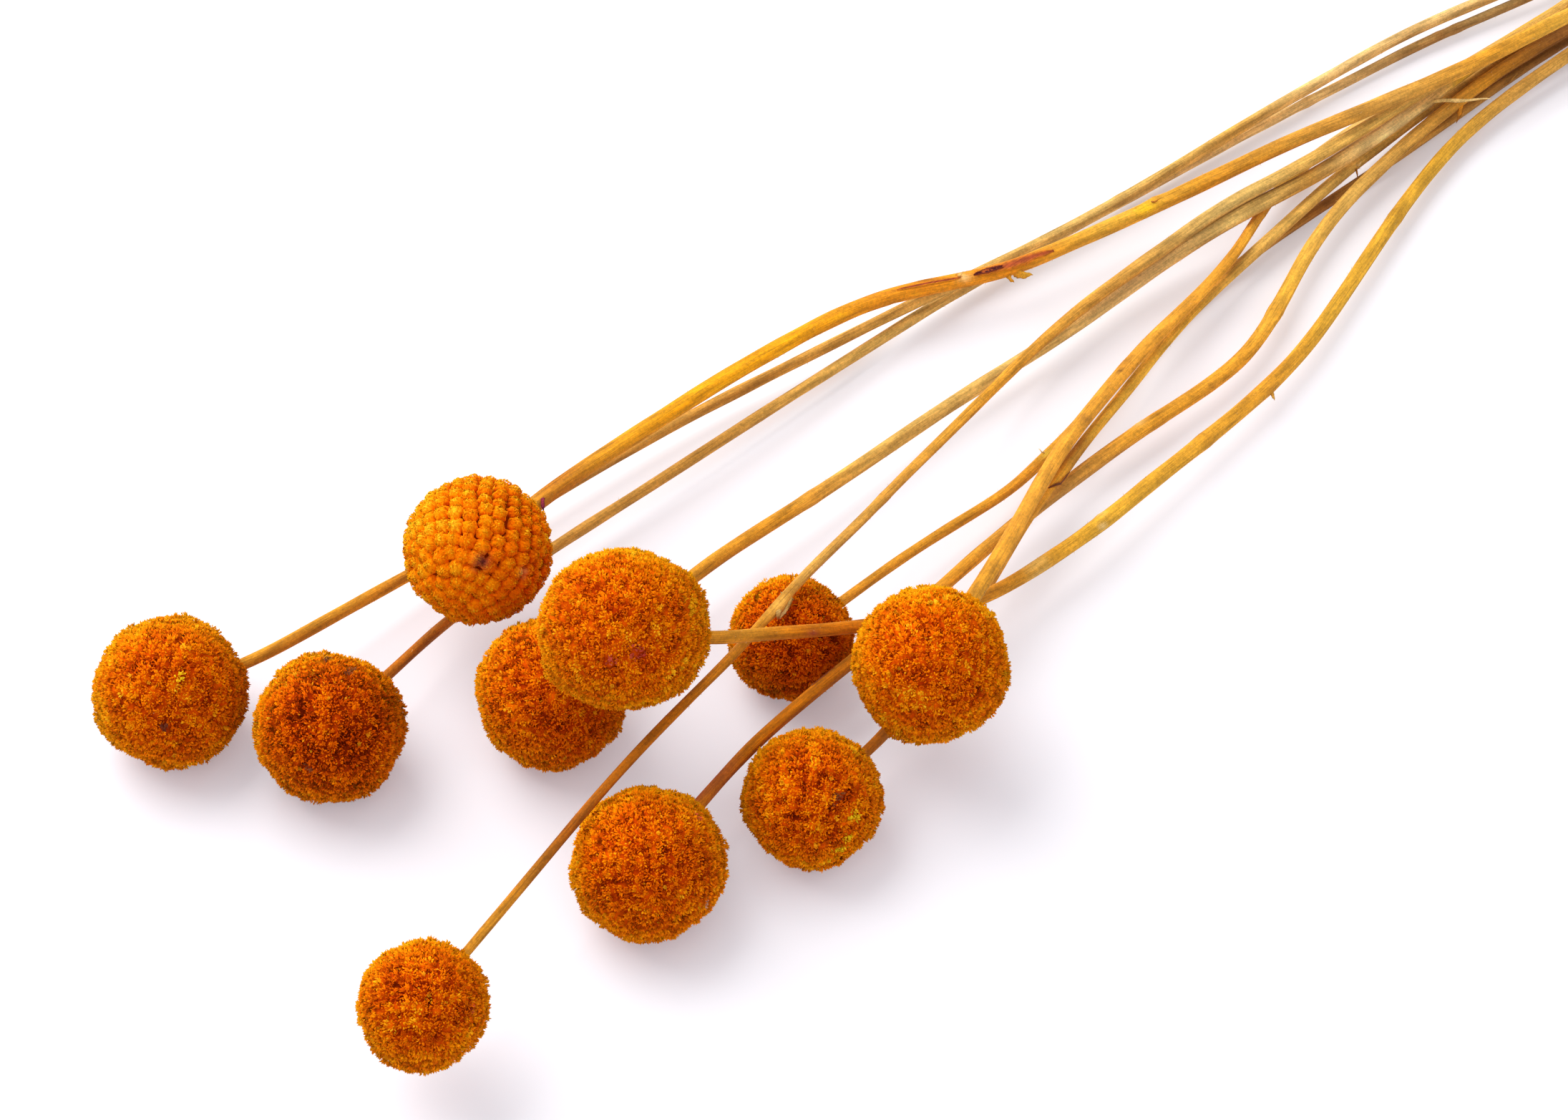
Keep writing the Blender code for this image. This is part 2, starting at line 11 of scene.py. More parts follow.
import bpy
import numpy as np
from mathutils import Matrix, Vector


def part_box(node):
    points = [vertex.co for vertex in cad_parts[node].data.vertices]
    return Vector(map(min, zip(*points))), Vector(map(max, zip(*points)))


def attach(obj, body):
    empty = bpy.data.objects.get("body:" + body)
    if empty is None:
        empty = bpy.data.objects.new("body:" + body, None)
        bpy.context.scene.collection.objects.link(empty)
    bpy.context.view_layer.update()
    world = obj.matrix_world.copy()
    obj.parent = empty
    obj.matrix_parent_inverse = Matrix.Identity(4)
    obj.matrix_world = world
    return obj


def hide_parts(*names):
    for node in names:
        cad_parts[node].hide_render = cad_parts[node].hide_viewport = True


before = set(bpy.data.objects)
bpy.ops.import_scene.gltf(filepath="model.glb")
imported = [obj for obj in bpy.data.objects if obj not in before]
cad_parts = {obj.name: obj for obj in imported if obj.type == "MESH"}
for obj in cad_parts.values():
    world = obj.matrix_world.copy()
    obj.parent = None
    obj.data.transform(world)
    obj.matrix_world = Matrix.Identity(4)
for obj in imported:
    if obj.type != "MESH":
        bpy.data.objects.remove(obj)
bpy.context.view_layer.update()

MM = 0.001
FULL_TURN = 2 * math.pi
print("frame holds", len(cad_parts), "nodes")

# %% [markdown]
# Dried petals keep strong colours: amber and orange at the tips, and rust and brown painted into
# the gaps as their shade. It is easiest to name each colour by its everyday 0 to 255 values and turn
# those into the linear light values that a shader needs. A short ladder of named colours then gives
# every tone between them.

# %% Colours
def paint(red, green, blue):
    """Linear colour from 0 to 255 display values, by the display's own power curve."""
    value = np.array([red, green, blue], float) / 255.0
    return np.where(value <= 0.04045, value / 12.92, ((value + 0.055) / 1.055) ** 2.4)


def read_off(x, places, rows):
    """The row of values at each x, by straight lines between the rows at the given places."""
    return np.stack([np.interp(x, places, column) for column in rows.T], -1)


def blend_colours(first, second, share):
    """first where share is 0 and second where it is 1."""
    share = np.clip(share, 0.0, 1.0)[..., None]
    return first * (1.0 - share) + second * share


FLORET = dict(
    coal=(96, 22, 2), rust=(168, 46, 2), burnt=(222, 86, 3), orange=(244, 116, 4), amber=(255, 150, 6),
    straw=(255, 198, 36), rim_gold=(255, 182, 14), pollen=(255, 216, 30), sunlit=(255, 176, 20),
    smudge=(84, 52, 46), rose=(190, 62, 60), coral=(200, 78, 70), cherry=(224, 60, 66),
    poppy=(224, 80, 60), ash=(206, 160, 140), aubergine=(74, 24, 56), berry=(96, 36, 50))
SKIN = dict(
    glow=(248, 168, 6), honey=(236, 176, 58), wheat=(226, 174, 82), cream=(224, 184, 104),
    gold=(229, 157, 40), old_gold=(212, 142, 34), tan=(211, 154, 66), khaki=(195, 139, 62),
    drab=(178, 136, 76), pale=(246, 206, 134), corn=(224, 166, 46), marigold=(234, 148, 22),
    apricot=(234, 160, 48), brass=(206, 120, 4), umber=(184, 104, 12), bark=(152, 96, 38),
    wine=(150, 36, 60), russet=(166, 88, 4), lichen=(140, 124, 84), yolk=(236, 176, 28),
    lemon=(240, 194, 50), peach=(230, 150, 40), daffodil=(246, 190, 30), cocoa=(120, 62, 34),
    buttercup=(255, 206, 20), saffron=(248, 186, 30), primrose=(250, 206, 70), peat=(90, 50, 24),
    ginger=(220, 120, 20), bistre=(96, 48, 26), plum=(84, 30, 60), maize=(255, 190, 60),
    biscuit=(224, 180, 84), ivory=(248, 222, 150), copper=(226, 132, 24), brick=(172, 74, 36),
    chestnut=(150, 62, 30), garnet=(70, 16, 24), tangerine=(236, 150, 28), mahogany=(150, 52, 30),
    sepia=(120, 50, 30), down=(240, 214, 150), pith=(214, 190, 140))
TWINE = dict(jute=(198, 168, 122), jute_dark=(132, 100, 62), jute_pale=(236, 214, 172))
PALETTE = {name: paint(*shade) for name, shade in {**FLORET, **SKIN, **TWINE}.items()}
LADDER = np.array([PALETTE[name] for name in ("coal", "rust", "burnt", "orange", "amber", "straw")])
RUNGS = np.array([0.0, 0.2, 0.4, 0.6, 0.82, 1.0])


def on_ladder(tone):
    """Colour for each tone from 0, coal, to 1, straw, by straight lines between the rungs."""
    return read_off(np.clip(tone, 0.0, 1.0), RUNGS, LADDER)


print("palette of", len(PALETTE), "colours, ladder of", len(RUNGS))

# %% [markdown]
# Nothing on a plant repeats, so nearly every step needs a smooth random field: to swell a surface,
# to patch a colour, to wander a rib. A sum of sine waves in random directions gives one at any
# point with no grid and no seam, and the same seed always gives the same field.

# %% Smooth random fields
def unit(vectors):
    """Each vector at length 1."""
    return vectors / np.maximum(np.linalg.norm(vectors, axis=-1, keepdims=True), 1e-12)


def wander(points, wavelength, seed, waves=20):
    """Smooth random field, mostly between -1.5 and 1.5: the scaled sum of plane sine waves whose
    directions and phases are random and whose lengths lie round the given wavelength."""
    random = np.random.default_rng(seed)
    way = random.normal(size=(waves, points.shape[-1]))
    way /= np.linalg.norm(way, axis=1)[:, None]
    rate = FULL_TURN / (wavelength * random.uniform(0.7, 1.5, waves))
    phase = random.uniform(0, FULL_TURN, waves)
    return np.sin(points @ (way * rate[:, None]).T + phase).sum(axis=-1) / math.sqrt(waves / 2)


print("field at three points:", np.round(wander(np.eye(3), 2.0, 1), 2))

# %% [markdown]
# Stalks and twine are lines first. They need their length, even steps, smoothing, and a direction
# across and above at each step, which the upright keeps from twisting.

# %% Lines
def along_line(line):
    """Distance along a line from its start to each of its points."""
    return np.concatenate([[0], np.cumsum(np.linalg.norm(np.diff(line, axis=0), axis=1))])


def even_line(line, count):
    """The line as count points in even steps of its length, and their distances."""
    s = along_line(line)
    even = np.linspace(0, s[-1], count)
    return read_off(even, s, line), even


def bell(distance, width, power=2):
    """1 at no distance and less further out: exp(-0.5 * (distance / width) ** power)."""
    return np.exp(-0.5 * (distance / width) ** power)


def blur(values, sigma):
    """Gaussian smoothing along a line of values whose ends carry on straight."""
    reach = int(math.ceil(3 * sigma))
    weights = bell(np.arange(-reach, reach + 1), sigma)
    weights /= weights.sum()
    head = 2 * values[0] - values[reach:0:-1]
    tail = 2 * values[-1] - values[-2:-reach - 2:-1]
    return np.convolve(np.concatenate([head, values, tail]), weights, mode="valid")


def tangent(line):
    """Unit direction along a line at each of its points."""
    return unit(np.gradient(line, axis=0))


def tube_frame(line):
    """Unit directions across and above a line."""
    along = tangent(line)
    across = unit(np.cross([0, 0, 1.0], along))
    return across, np.cross(along, across)


def made_square(vectors, axes):
    """Each vector without its part along its axis, at length 1."""
    return unit(vectors - (vectors * axes).sum(axis=1)[:, None] * axes)


def heading(turn, first, second):
    """The direction at a turn t from one side towards another: cos t times the first plus sin t
    times the second."""
    return np.cos(turn)[..., None] * first + np.sin(turn)[..., None] * second


def ring_turns(sides):
    """Even turns round a ring."""
    return FULL_TURN * np.arange(sides) / sides


print("turns round a ring of six:", np.round(ring_turns(6), 2))

# %% [markdown]
# A piece here is an array of points in millimetres, arrays of faces, a colour at every point and,
# on stalks and twine, a grain direction. Writing whole arrays into the mesh at once is fast, and
# colours kept on the points travel with the piece, which a pattern in space would not.
# Stalks, plies, flakes and cores are all tubes: rings of points with quads between them and a fan
# to a point at each end. Such parts are then joined into one piece.

# %% Putting arrays into a piece
LOWEST = 0.02


def capped(rings, first, last):
    """A grid of rings as one row of points, with the two end points after it."""
    return np.concatenate([rings.reshape(-1, 3), [first], [last]])


def tube_faces(stations, sides):
    """Quads between neighbouring rings and a fan of triangles to a point at each end. The two
    end points are numbered after all the rings."""
    grid = np.arange(stations * sides).reshape(stations, sides)
    after = np.roll(grid, -1, axis=1)
    quads = np.stack([grid[:-1], after[:-1], after[1:], grid[1:]], -1).reshape(-1, 4)
    first, last = stations * sides, stations * sides + 1
    caps = [np.stack([np.full(sides, first), after[0], grid[0]], -1),
            np.stack([np.full(sides, last), grid[-1], after[-1]], -1)]
    return [quads, np.concatenate(caps)]


def joined(parts, lowest=-math.inf):
    """Several parts as one, with no point under the lowest height. A part has points, a list of
    face arrays, colours, and one more array for its points: their grain place or their normals."""
    starts = np.cumsum([0] + [len(part[0]) for part in parts])
    faces = [face + start for part, start in zip(parts, starts) for face in part[1]]
    points, tint, extra = (np.concatenate([part[k] for part in parts]) for k in (0, 2, 3))
    points[:, 2] = np.maximum(points[:, 2], lowest)
    return points, faces, tint, extra


def make_piece(name, node, points, faces, material, tint, grain=None, soft_normals=None):
    """A smooth-shaded mesh from points, a list of face arrays, a colour for each point and, where
    given, a grain place and a softened normal for each point. It rides on the root body and
    stands for its node."""
    mesh = bpy.data.meshes.new(name)
    corners = np.concatenate([np.asarray(f, np.int32).ravel() for f in faces])
    sizes = np.concatenate([np.full(len(f), f.shape[1], np.int32) for f in faces])
    mesh.vertices.add(len(points))
    mesh.loops.add(len(corners))
    mesh.polygons.add(len(sizes))
    mesh.vertices.foreach_set("co", (points * MM).astype(np.float32).ravel())
    mesh.loops.foreach_set("vertex_index", corners)
    starts = np.concatenate([[0], np.cumsum(sizes)[:-1]]).astype(np.int32)
    mesh.polygons.foreach_set("loop_start", starts)
    mesh.update(calc_edges=True)
    mesh.shade_smooth()
    colour = mesh.attributes.new("tint", "FLOAT_COLOR", "POINT")
    rgba = np.concatenate([np.clip(tint, 0.0, 1.0), np.ones((len(points), 1))], axis=1)
    colour.data.foreach_set("color", rgba.astype(np.float32).ravel())
    if grain is not None:
        place = mesh.attributes.new("grain", "FLOAT_VECTOR", "POINT")
        place.data.foreach_set("vector", grain.astype(np.float32).ravel())
    if soft_normals is not None:
        mesh.normals_split_custom_set_from_vertices(soft_normals.astype(np.float32))
    mesh.materials.append(material)
    piece = bpy.data.objects.new(name, mesh)
    bpy.context.scene.collection.objects.link(piece)
    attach(piece, "root")
    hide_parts(node)
    print(name, "has", int((sizes - 2).sum()), "triangles")
    return piece


def read_node(name):
    """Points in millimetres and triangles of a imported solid."""
    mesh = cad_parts[name].data
    points = np.empty(len(mesh.vertices) * 3, np.float32)
    mesh.vertices.foreach_get("co", points)
    mesh.calc_loop_triangles()
    triangles = np.empty(len(mesh.loop_triangles) * 3, np.int32)
    mesh.loop_triangles.foreach_get("vertices", triangles)
    return points.reshape(-1, 3).astype(float) / MM, triangles.reshape(-1, 3)


print("the tie's solid has", len(read_node("tie")[1]), "triangles")

# %% [markdown]
# Hundreds of florets are copies of a few tiny closed shapes: a folded kite for a petal lobe, a
# rounded peg for a knob of buds, a thin spike for a hair. Each copy gets its own root, axis, turn,
# width and length. Doing that as one array product keeps the shapes cheap and every copy different.

# %% Planting small shapes
def face_outwards(shape, faces):
    """The faces of a small convex shape, each turned so that its normal leaves the middle."""
    corner = shape[faces]
    normal = np.cross(corner[:, 1] - corner[:, 0], corner[:, 2] - corner[:, 0])
    inward = ((corner.mean(axis=1) - shape.mean(axis=0)) * normal).sum(axis=1) < 0
    turned = faces.copy()
    turned[inward] = turned[inward][:, ::-1]
    return turned


def plant(shape, roots, axes, sides, widths, lengths):
    """Copies of a small shape, or one shape for each copy: its point (a, b, c) goes to
    root + a * width * side + b * width * (axis x side) + c * length * axis."""
    shapes = np.broadcast_to(shape, (len(roots), *shape.shape[-2:]))
    thirds = np.cross(axes, sides)
    wide = widths[:, None, None]
    points = (roots[:, None, :] + shapes[..., 0, None] * wide * sides[:, None, :]
              + shapes[..., 1, None] * wide * thirds[:, None, :]
              + shapes[..., 2, None] * lengths[:, None, None] * axes[:, None, :])
    return points.reshape(-1, 3)


def own_normals(faces, points, size):
    """The smooth normal at every point of planted copies: the mean of its faces' normals."""
    corner = points.reshape(-1, size, 3)
    total = np.zeros_like(corner)
    for a, b, c in faces:
        flat = np.cross(corner[:, b] - corner[:, a], corner[:, c] - corner[:, a])
        for k in (a, b, c):
            total[:, k] += flat
    return unit(total).reshape(-1, 3)


def planted(faces, size, points, tint, extra=None):
    """Planted copies of size points each as a part, with the same faces for every copy. Its last
    array holds the copies' own normals where no other is given."""
    starts = size * np.arange(len(points) // size)[:, None, None]
    extra = own_normals(faces, points, size) if extra is None else extra
    return points, [(faces[None] + starts).reshape(-1, 3)], tint.reshape(-1, 3), extra


def square_to(axes, random):
    """A random unit direction square to each axis."""
    return unit(np.cross(axes, random.normal(size=axes.shape)))


def ring_shape(heights, widths, sides):
    """A closed peg: a point, rings of the given heights and widths, and a point, as triangles."""
    angle = ring_turns(sides)
    rings = [np.stack([w * np.cos(angle + 0.5 * k), w * np.sin(angle + 0.5 * k), np.full(sides, h)], -1)
             for k, (h, w) in enumerate(zip(heights[1:-1], widths[1:-1]))]
    shape = np.concatenate([[[0, 0, heights[0]]], *rings, [[0, 0, heights[-1]]]])
    here = np.arange(sides)
    after = (here + 1) % sides
    top = len(shape) - 1
    faces = [np.stack([np.zeros(sides, int), 1 + after, 1 + here], -1),
             np.stack([np.full(sides, top), top - sides + here, top - sides + after], -1)]
    for k in range(len(rings) - 1):
        low = 1 + k * sides
        faces += [np.stack([low + here, low + after, low + sides + here], -1),
                  np.stack([low + after, low + sides + after, low + sides + here], -1)]
    return shape, np.concatenate(faces)


KITE_FACES = np.array([[0, 1, 2], [0, 1, 3], [0, 2, 3], [1, 2, 3]])
LOBE = np.array([[0, -0.12, 0.0], [0.5, 0.16, 0.6], [-0.5, 0.16, 0.6], [0, -0.05, 1.0]])
LOBE_FACES = face_outwards(LOBE, KITE_FACES)
HAIR = np.array([[0, 0.5, 0.0], [0.43, -0.25, 0.0], [-0.43, -0.25, 0.0], [0, 0, 1.0]])
HAIR_FACES = face_outwards(HAIR, KITE_FACES)
KNOB_SIDES = 14
KNOB, KNOB_FACES = ring_shape([0.0, 0.2, 0.62, 0.86, 0.97, 1.0], [0, 0.9, 1.0, 0.82, 0.45, 0], KNOB_SIDES)
print("lobe, hair and knob have", len(LOBE_FACES), len(HAIR_FACES), len(KNOB_FACES), "triangles")

# %% [markdown]
# The camera looks down on the table at 51 degrees through a long lens. It comes before the pieces
# because some marks, such as a stain or a bright tuft, are placed by where the picture shows them:
# a line from the camera through that point meets the head's ball at the mark's own place.

# %% Camera
EYE = np.array([-318.15, -241.82, 396.3])
AIM = np.array([-111.85, 4.08, 0.0])
LENS = 75.0
SENSOR = 36.0
PICTURE = (2191, 1565)
FOCAL = PICTURE[0] * LENS / SENSOR
FORWARD = unit(AIM - EYE)
RIGHT = unit(np.cross(FORWARD, [0, 0, 1.0]))
ABOVE = np.cross(RIGHT, FORWARD)


def into_scene(name, data, place, towards):
    """A camera or light at a place in millimetres, facing along a direction."""
    thing = bpy.data.objects.new(name, data)
    thing.location = Vector(place) * MM
    thing.rotation_mode = "QUATERNION"
    thing.rotation_quaternion = Vector(towards).to_track_quat("-Z", "Y")
    bpy.context.scene.collection.objects.link(thing)
    return thing


camera_data = bpy.data.cameras.new("camera")
camera_data.lens = LENS
camera_data.sensor_width = SENSOR
camera_data.clip_start = 0.01
camera_data.clip_end = 20.0
bpy.context.scene.camera = into_scene("camera", camera_data, EYE, AIM - EYE)


def mark_on_ball(centre, radius, across, down):
    """Direction from a ball's middle to the near point that the picture shows at that place."""
    ray = unit(FORWARD + RIGHT * (across - PICTURE[0] / 2) / FOCAL
               - ABOVE * (down - PICTURE[1] / 2) / FOCAL)
    middle = (centre - EYE) @ ray
    miss = np.linalg.norm(centre - EYE - ray * middle)
    depth = middle - math.sqrt(max(radius**2 - miss**2, 0.0))
    return unit(EYE + ray * depth - centre)


def in_picture(points):
    """Where points come to lie in the picture, across and down."""
    from_eye = points - EYE
    depth = from_eye @ FORWARD
    return np.stack([PICTURE[0] / 2 + FOCAL * (from_eye @ RIGHT) / depth,
                     PICTURE[1] / 2 - FOCAL * (from_eye @ ABOVE) / depth], -1)


print("the camera looks down at", round(math.degrees(math.asin(-FORWARD[2])), 1), "degrees")

# %% [markdown]
# Every finish is a small tree of shader nodes. One function starts a material and gives back two
# others: one adds a node, the other sets the shader itself. Both take a link or a plain value for
# each input, so a finish reads as a recipe.

# %% Material helpers
def start_material(name):
    """A new material, a function that adds a node and gives its output, and a function that sets
    inputs of the shader. An input's value is another node's output or a plain number or colour."""
    material = bpy.data.materials.new(name)
    material.use_nodes = True
    tree = material.node_tree

    def feed(node, inputs):
        for place, value in inputs.items():
            if isinstance(value, bpy.types.NodeSocket):
                tree.links.new(value, node.inputs[place])
            else:
                node.inputs[place].default_value = value

    def add(kind, output, inputs, **settings):
        node = tree.nodes.new("ShaderNode" + kind)
        for setting, value in settings.items():
            setattr(node, setting, value)
        feed(node, inputs)
        return node.outputs[output]

    return material, add, lambda inputs: feed(tree.nodes["Principled BSDF"], inputs)


def noise(add, source, scale, detail=4.0, roughness=0.6):
    """A noise texture on the given coordinates."""
    return add("TexNoise", "Fac", {"Vector": source, "Scale": scale, "Detail": detail,
                                   "Roughness": roughness})


def ramp(add, source, low, high, start=0.3, end=0.7):
    """A grey that goes from low to high while what comes in goes from start to end."""
    return add("MapRange", "Result", {"Value": source, "From Min": start, "From Max": end,
                                      "To Min": low, "To Max": high})


def mix(add, share, first, second):
    """The first colour where share is 0 and the second where it is 1."""
    return add("Mix", "Result", {"Factor": share, "A": first, "B": second}, data_type="RGBA")


def bump(add, height, strength, distance):
    """The shading normal raised by a height field; distance is the relief in metres."""
    return add("Bump", "Normal", {"Height": height, "Strength": strength, "Distance": distance})


def tinted(add, factor):
    """The piece's own point colour, made lighter or darker by a factor."""
    tint = add("Attribute", "Color", {}, attribute_name="tint")
    return add("VectorMath", "Vector", {0: tint, "Scale": factor}, operation="SCALE")


print("helpers for noise, ramps, mixes, bumps and point colours")

# %% [markdown]
# The table is a wide pale sheet with the faintest unevenness. A big soft window lights it from
# behind the heads, on the left of the picture, and a bright plain room fills the shadows.

# %% Table and light
def table_material():
    """Pale paint whose colour and gloss waver very slightly, with some light of its own, as a
    white table in a very bright picture has."""
    material, add, dress = start_material("pale_table")
    where = add("TexCoord", "Object", {})
    dress({"Base Color": mix(add, noise(add, where, 12.0), (0.63, 0.62, 0.65, 1), (0.66, 0.65, 0.68, 1)),
           "Roughness": ramp(add, noise(add, where, 40.0), 0.75, 0.85),
           "Emission Color": (0.93, 0.92, 1.0, 1), "Emission Strength": 0.24})
    return material


TABLE_REACH = 4
TABLE_CORNERS = [(a * TABLE_REACH, b * TABLE_REACH, 0) for a, b in ((-1, -1), (1, -1), (1, 1), (-1, 1))]
table_mesh = bpy.data.meshes.new("table")
table_mesh.from_pydata(TABLE_CORNERS, [], [(0, 1, 2, 3)])
table_mesh.materials.append(table_material())
table = bpy.data.objects.new("table", table_mesh)
bpy.context.scene.collection.objects.link(table)

WINDOW_FROM = unit(np.array([-0.14, 0.66, 0.80]))
WINDOW_DISTANCE = 1500.0
window_data = bpy.data.lights.new("window", "AREA")
window_data.shape = "SQUARE"
window_data.size = 1.4
window_data.energy = 23.5
window_data.color = (1.0, 0.985, 0.96)
into_scene("window", window_data, AIM + WINDOW_FROM * WINDOW_DISTANCE, -WINDOW_FROM)

room = bpy.data.worlds.new("room")
room.use_nodes = True
room.node_tree.nodes["Background"].inputs["Color"].default_value = (0.97, 0.98, 1.0, 1)
room.node_tree.nodes["Background"].inputs["Strength"].default_value = 0.97
bpy.context.scene.world = room
bpy.context.scene.view_settings.view_transform = "Standard"
print("window of", round(window_data.size, 2), "m at", WINDOW_DISTANCE * MM, "m")

# %% [markdown]
# Two kinds of finish cover the whole bunch. Floret fibre is dry and matt with a velvet sheen at its
# edges, and its colour comes from the points, broken up by a speckle finer than a lobe.
# Stalk and twine skins are streaked along their length, so they read the grain place instead of
# plain space: the streaks follow every bend.

# %% Finishes
def floret_material(name, sheen_colour):
    """Dry floret fibre: point colour times fine speckle, matt, with a soft sheen. Thin tips let
    light through, so what turns away from the eye goes to gold by its turn to the power 3.2, and
    most on the side of the window."""
    material, add, dress = start_material(name)
    speckle = noise(add, add("TexCoord", "Object", {}), 4200.0, 3.0, 0.75)
    turned_away = add("LayerWeight", "Facing", {"Blend": 0.5})
    rim = add("Math", "Value", {0: turned_away, 1: 3.2}, operation="POWER")
    lit = add("VectorMath", "Value", {0: add("NewGeometry", "Normal", {}), 1: WINDOW_FROM},
              operation="DOT_PRODUCT")
    share = add("Math", "Value", {0: rim, 1: ramp(add, lit, 0.35, 1.0, -0.5, 0.5)}, operation="MULTIPLY")
    own = tinted(add, ramp(add, speckle, 0.9, 1.1))
    dress({"Base Color": mix(add, share, own, (*PALETTE["rim_gold"], 1)),
           "Roughness": ramp(add, speckle, 0.72, 0.95), "Normal": bump(add, speckle, 0.4, 0.0001),
           "Specular IOR Level": 0.04, "Specular Tint": (1.0, 0.6, 0.15, 1),
           "Sheen Weight": 0.12, "Sheen Roughness": 0.4, "Sheen Tint": (*sheen_colour, 1)})
    return material


def streaked_material(name, along, around, low, high, relief, roughness, wool):
    """A skin with fine streaks: noise on the grain place, stretched along the piece. Where a
    second noise is high, pale wool clings and makes the skin's own colour lighter by wool times."""
    material, add, dress = start_material(name)
    place = add("Attribute", "Vector", {}, attribute_name="grain")
    stretched = add("Mapping", "Vector", {"Vector": place, "Scale": (along, around, around)})
    streaks = noise(add, stretched, 1.0, 5.0, 0.7)
    fluff = noise(add, place, 1.6, 5.0, 0.85)
    factor = add("Math", "Value", {0: ramp(add, streaks, low, high), 1: ramp(add, fluff, 2.0 - wool, wool)},
                 operation="MULTIPLY")
    height = add("Math", "Value", {0: fluff, 1: 0.5, 2: streaks}, operation="MULTIPLY_ADD")
    dress({"Base Color": tinted(add, factor), "Normal": bump(add, height, 0.8, relief),
           "Roughness": ramp(add, streaks, roughness - 0.1, roughness + 0.1),
           "Specular IOR Level": 0.17, "Sheen Weight": 0.05, "Sheen Roughness": 0.5,
           "Sheen Tint": (1.0, 0.75, 0.4, 1)})
    return material


OPEN_FINISH = floret_material("open_floret_fibre", (1.0, 0.42, 0.02))
BUD_FINISH = floret_material("floret_bud_fibre", (1.0, 0.5, 0.03))
STALK_FINISH = streaked_material("ribbed_stalk_skin", along=0.18, around=4.0, low=0.66, high=1.28,
                                 relief=0.0003, roughness=0.75, wool=1.34)
TWINE_FINISH = streaked_material("jute_twine", along=0.8, around=7.0, low=0.6, high=1.35,
                                 relief=0.00015, roughness=0.85, wool=1.2)
print("finishes:", [m.name for m in (OPEN_FINISH, BUD_FINISH, STALK_FINISH, TWINE_FINISH)])

# %% [markdown]
# A stalk's solid is a faceted rod. Cutting it across at every millimetre and taking the middle of
# each cut gives back its centre line, which is then smoothed. Reading the line from the solid,
# rather than repeating a route, means that the finished stalk can never stray from it.

# %% Stalk centre lines
STATION_STEP = 1.25
END_INSET = 0.3
FIRST_CUT = 1.6
CUT_STEP = 1.0
CUT_BLUR = 3.0


def centre_line(name):
    """Middle of each cross cut of a stalk's solid, smoothed and carried out to both ends, with
    even steps of arc length. A cut's middle is the mean of where triangle edges pass it."""
    points, triangles = read_node(name)
    low, high = points[:, 0].min(), points[:, 0].max()
    cuts = np.arange(low + FIRST_CUT, high - FIRST_CUT, CUT_STEP)
    start = points[triangles].reshape(-1, 3)
    run = points[np.roll(triangles, -1, axis=1)].reshape(-1, 3) - start
    flat = np.abs(run[:, 0]) < 1e-6
    share = (cuts[:, None] - start[None, :, 0]) / np.where(flat, 1e9, run[:, 0])[None, :]
    crossed = (share >= 0) & (share < 1) & ~flat[None, :]
    across = start[None, :, 1:] + share[..., None] * run[None, :, 1:]
    middle = (across * crossed[..., None]).sum(axis=1) / crossed.sum(axis=1)[:, None]
    middle = np.stack([blur(middle[:, k], CUT_BLUR) for k in range(2)], -1)
    first = middle[0] - (middle[3] - middle[0]) / 3 * (cuts[0] - low - END_INSET)
    last = middle[-1] + (middle[-1] - middle[-4]) / 3 * (high - END_INSET - cuts[-1])
    line = np.concatenate([[[low + END_INSET, *first]], np.column_stack([cuts, middle]),
                           [[high - END_INSET, *last]]])
    return even_line(line, int(along_line(line)[-1] / STATION_STEP))


NUMBERS = ["%02d" % k for k in range(1, 11)]
LINES = {number: centre_line("stem_" + number) for number in NUMBERS}
print("stalk lengths in mm:", {k: round(float(v[1][-1])) for k, v in LINES.items()})

# %% [markdown]
# A dry stalk isn't round: it shrinks between its fibres, so it is ribbed along its length, a little
# flattened, and it swells at old leaf joints. Its skin runs from straw through amber to brown, and
# each stalk has its own run of colours. So each has a row of stops: pairs of a place along the
# bunch in millimetres and what stands there, a half width, a joint's swelling or a skin colour.

# %% Stalk styles
def stops(text):
    """The places, and the numbers or palette colours that stand at them, from a line of pairs."""
    words = text.split()
    values = [PALETTE[word] if word in PALETTE else float(word) for word in words[1::2]]
    return np.array(words[::2], float), np.array(values)


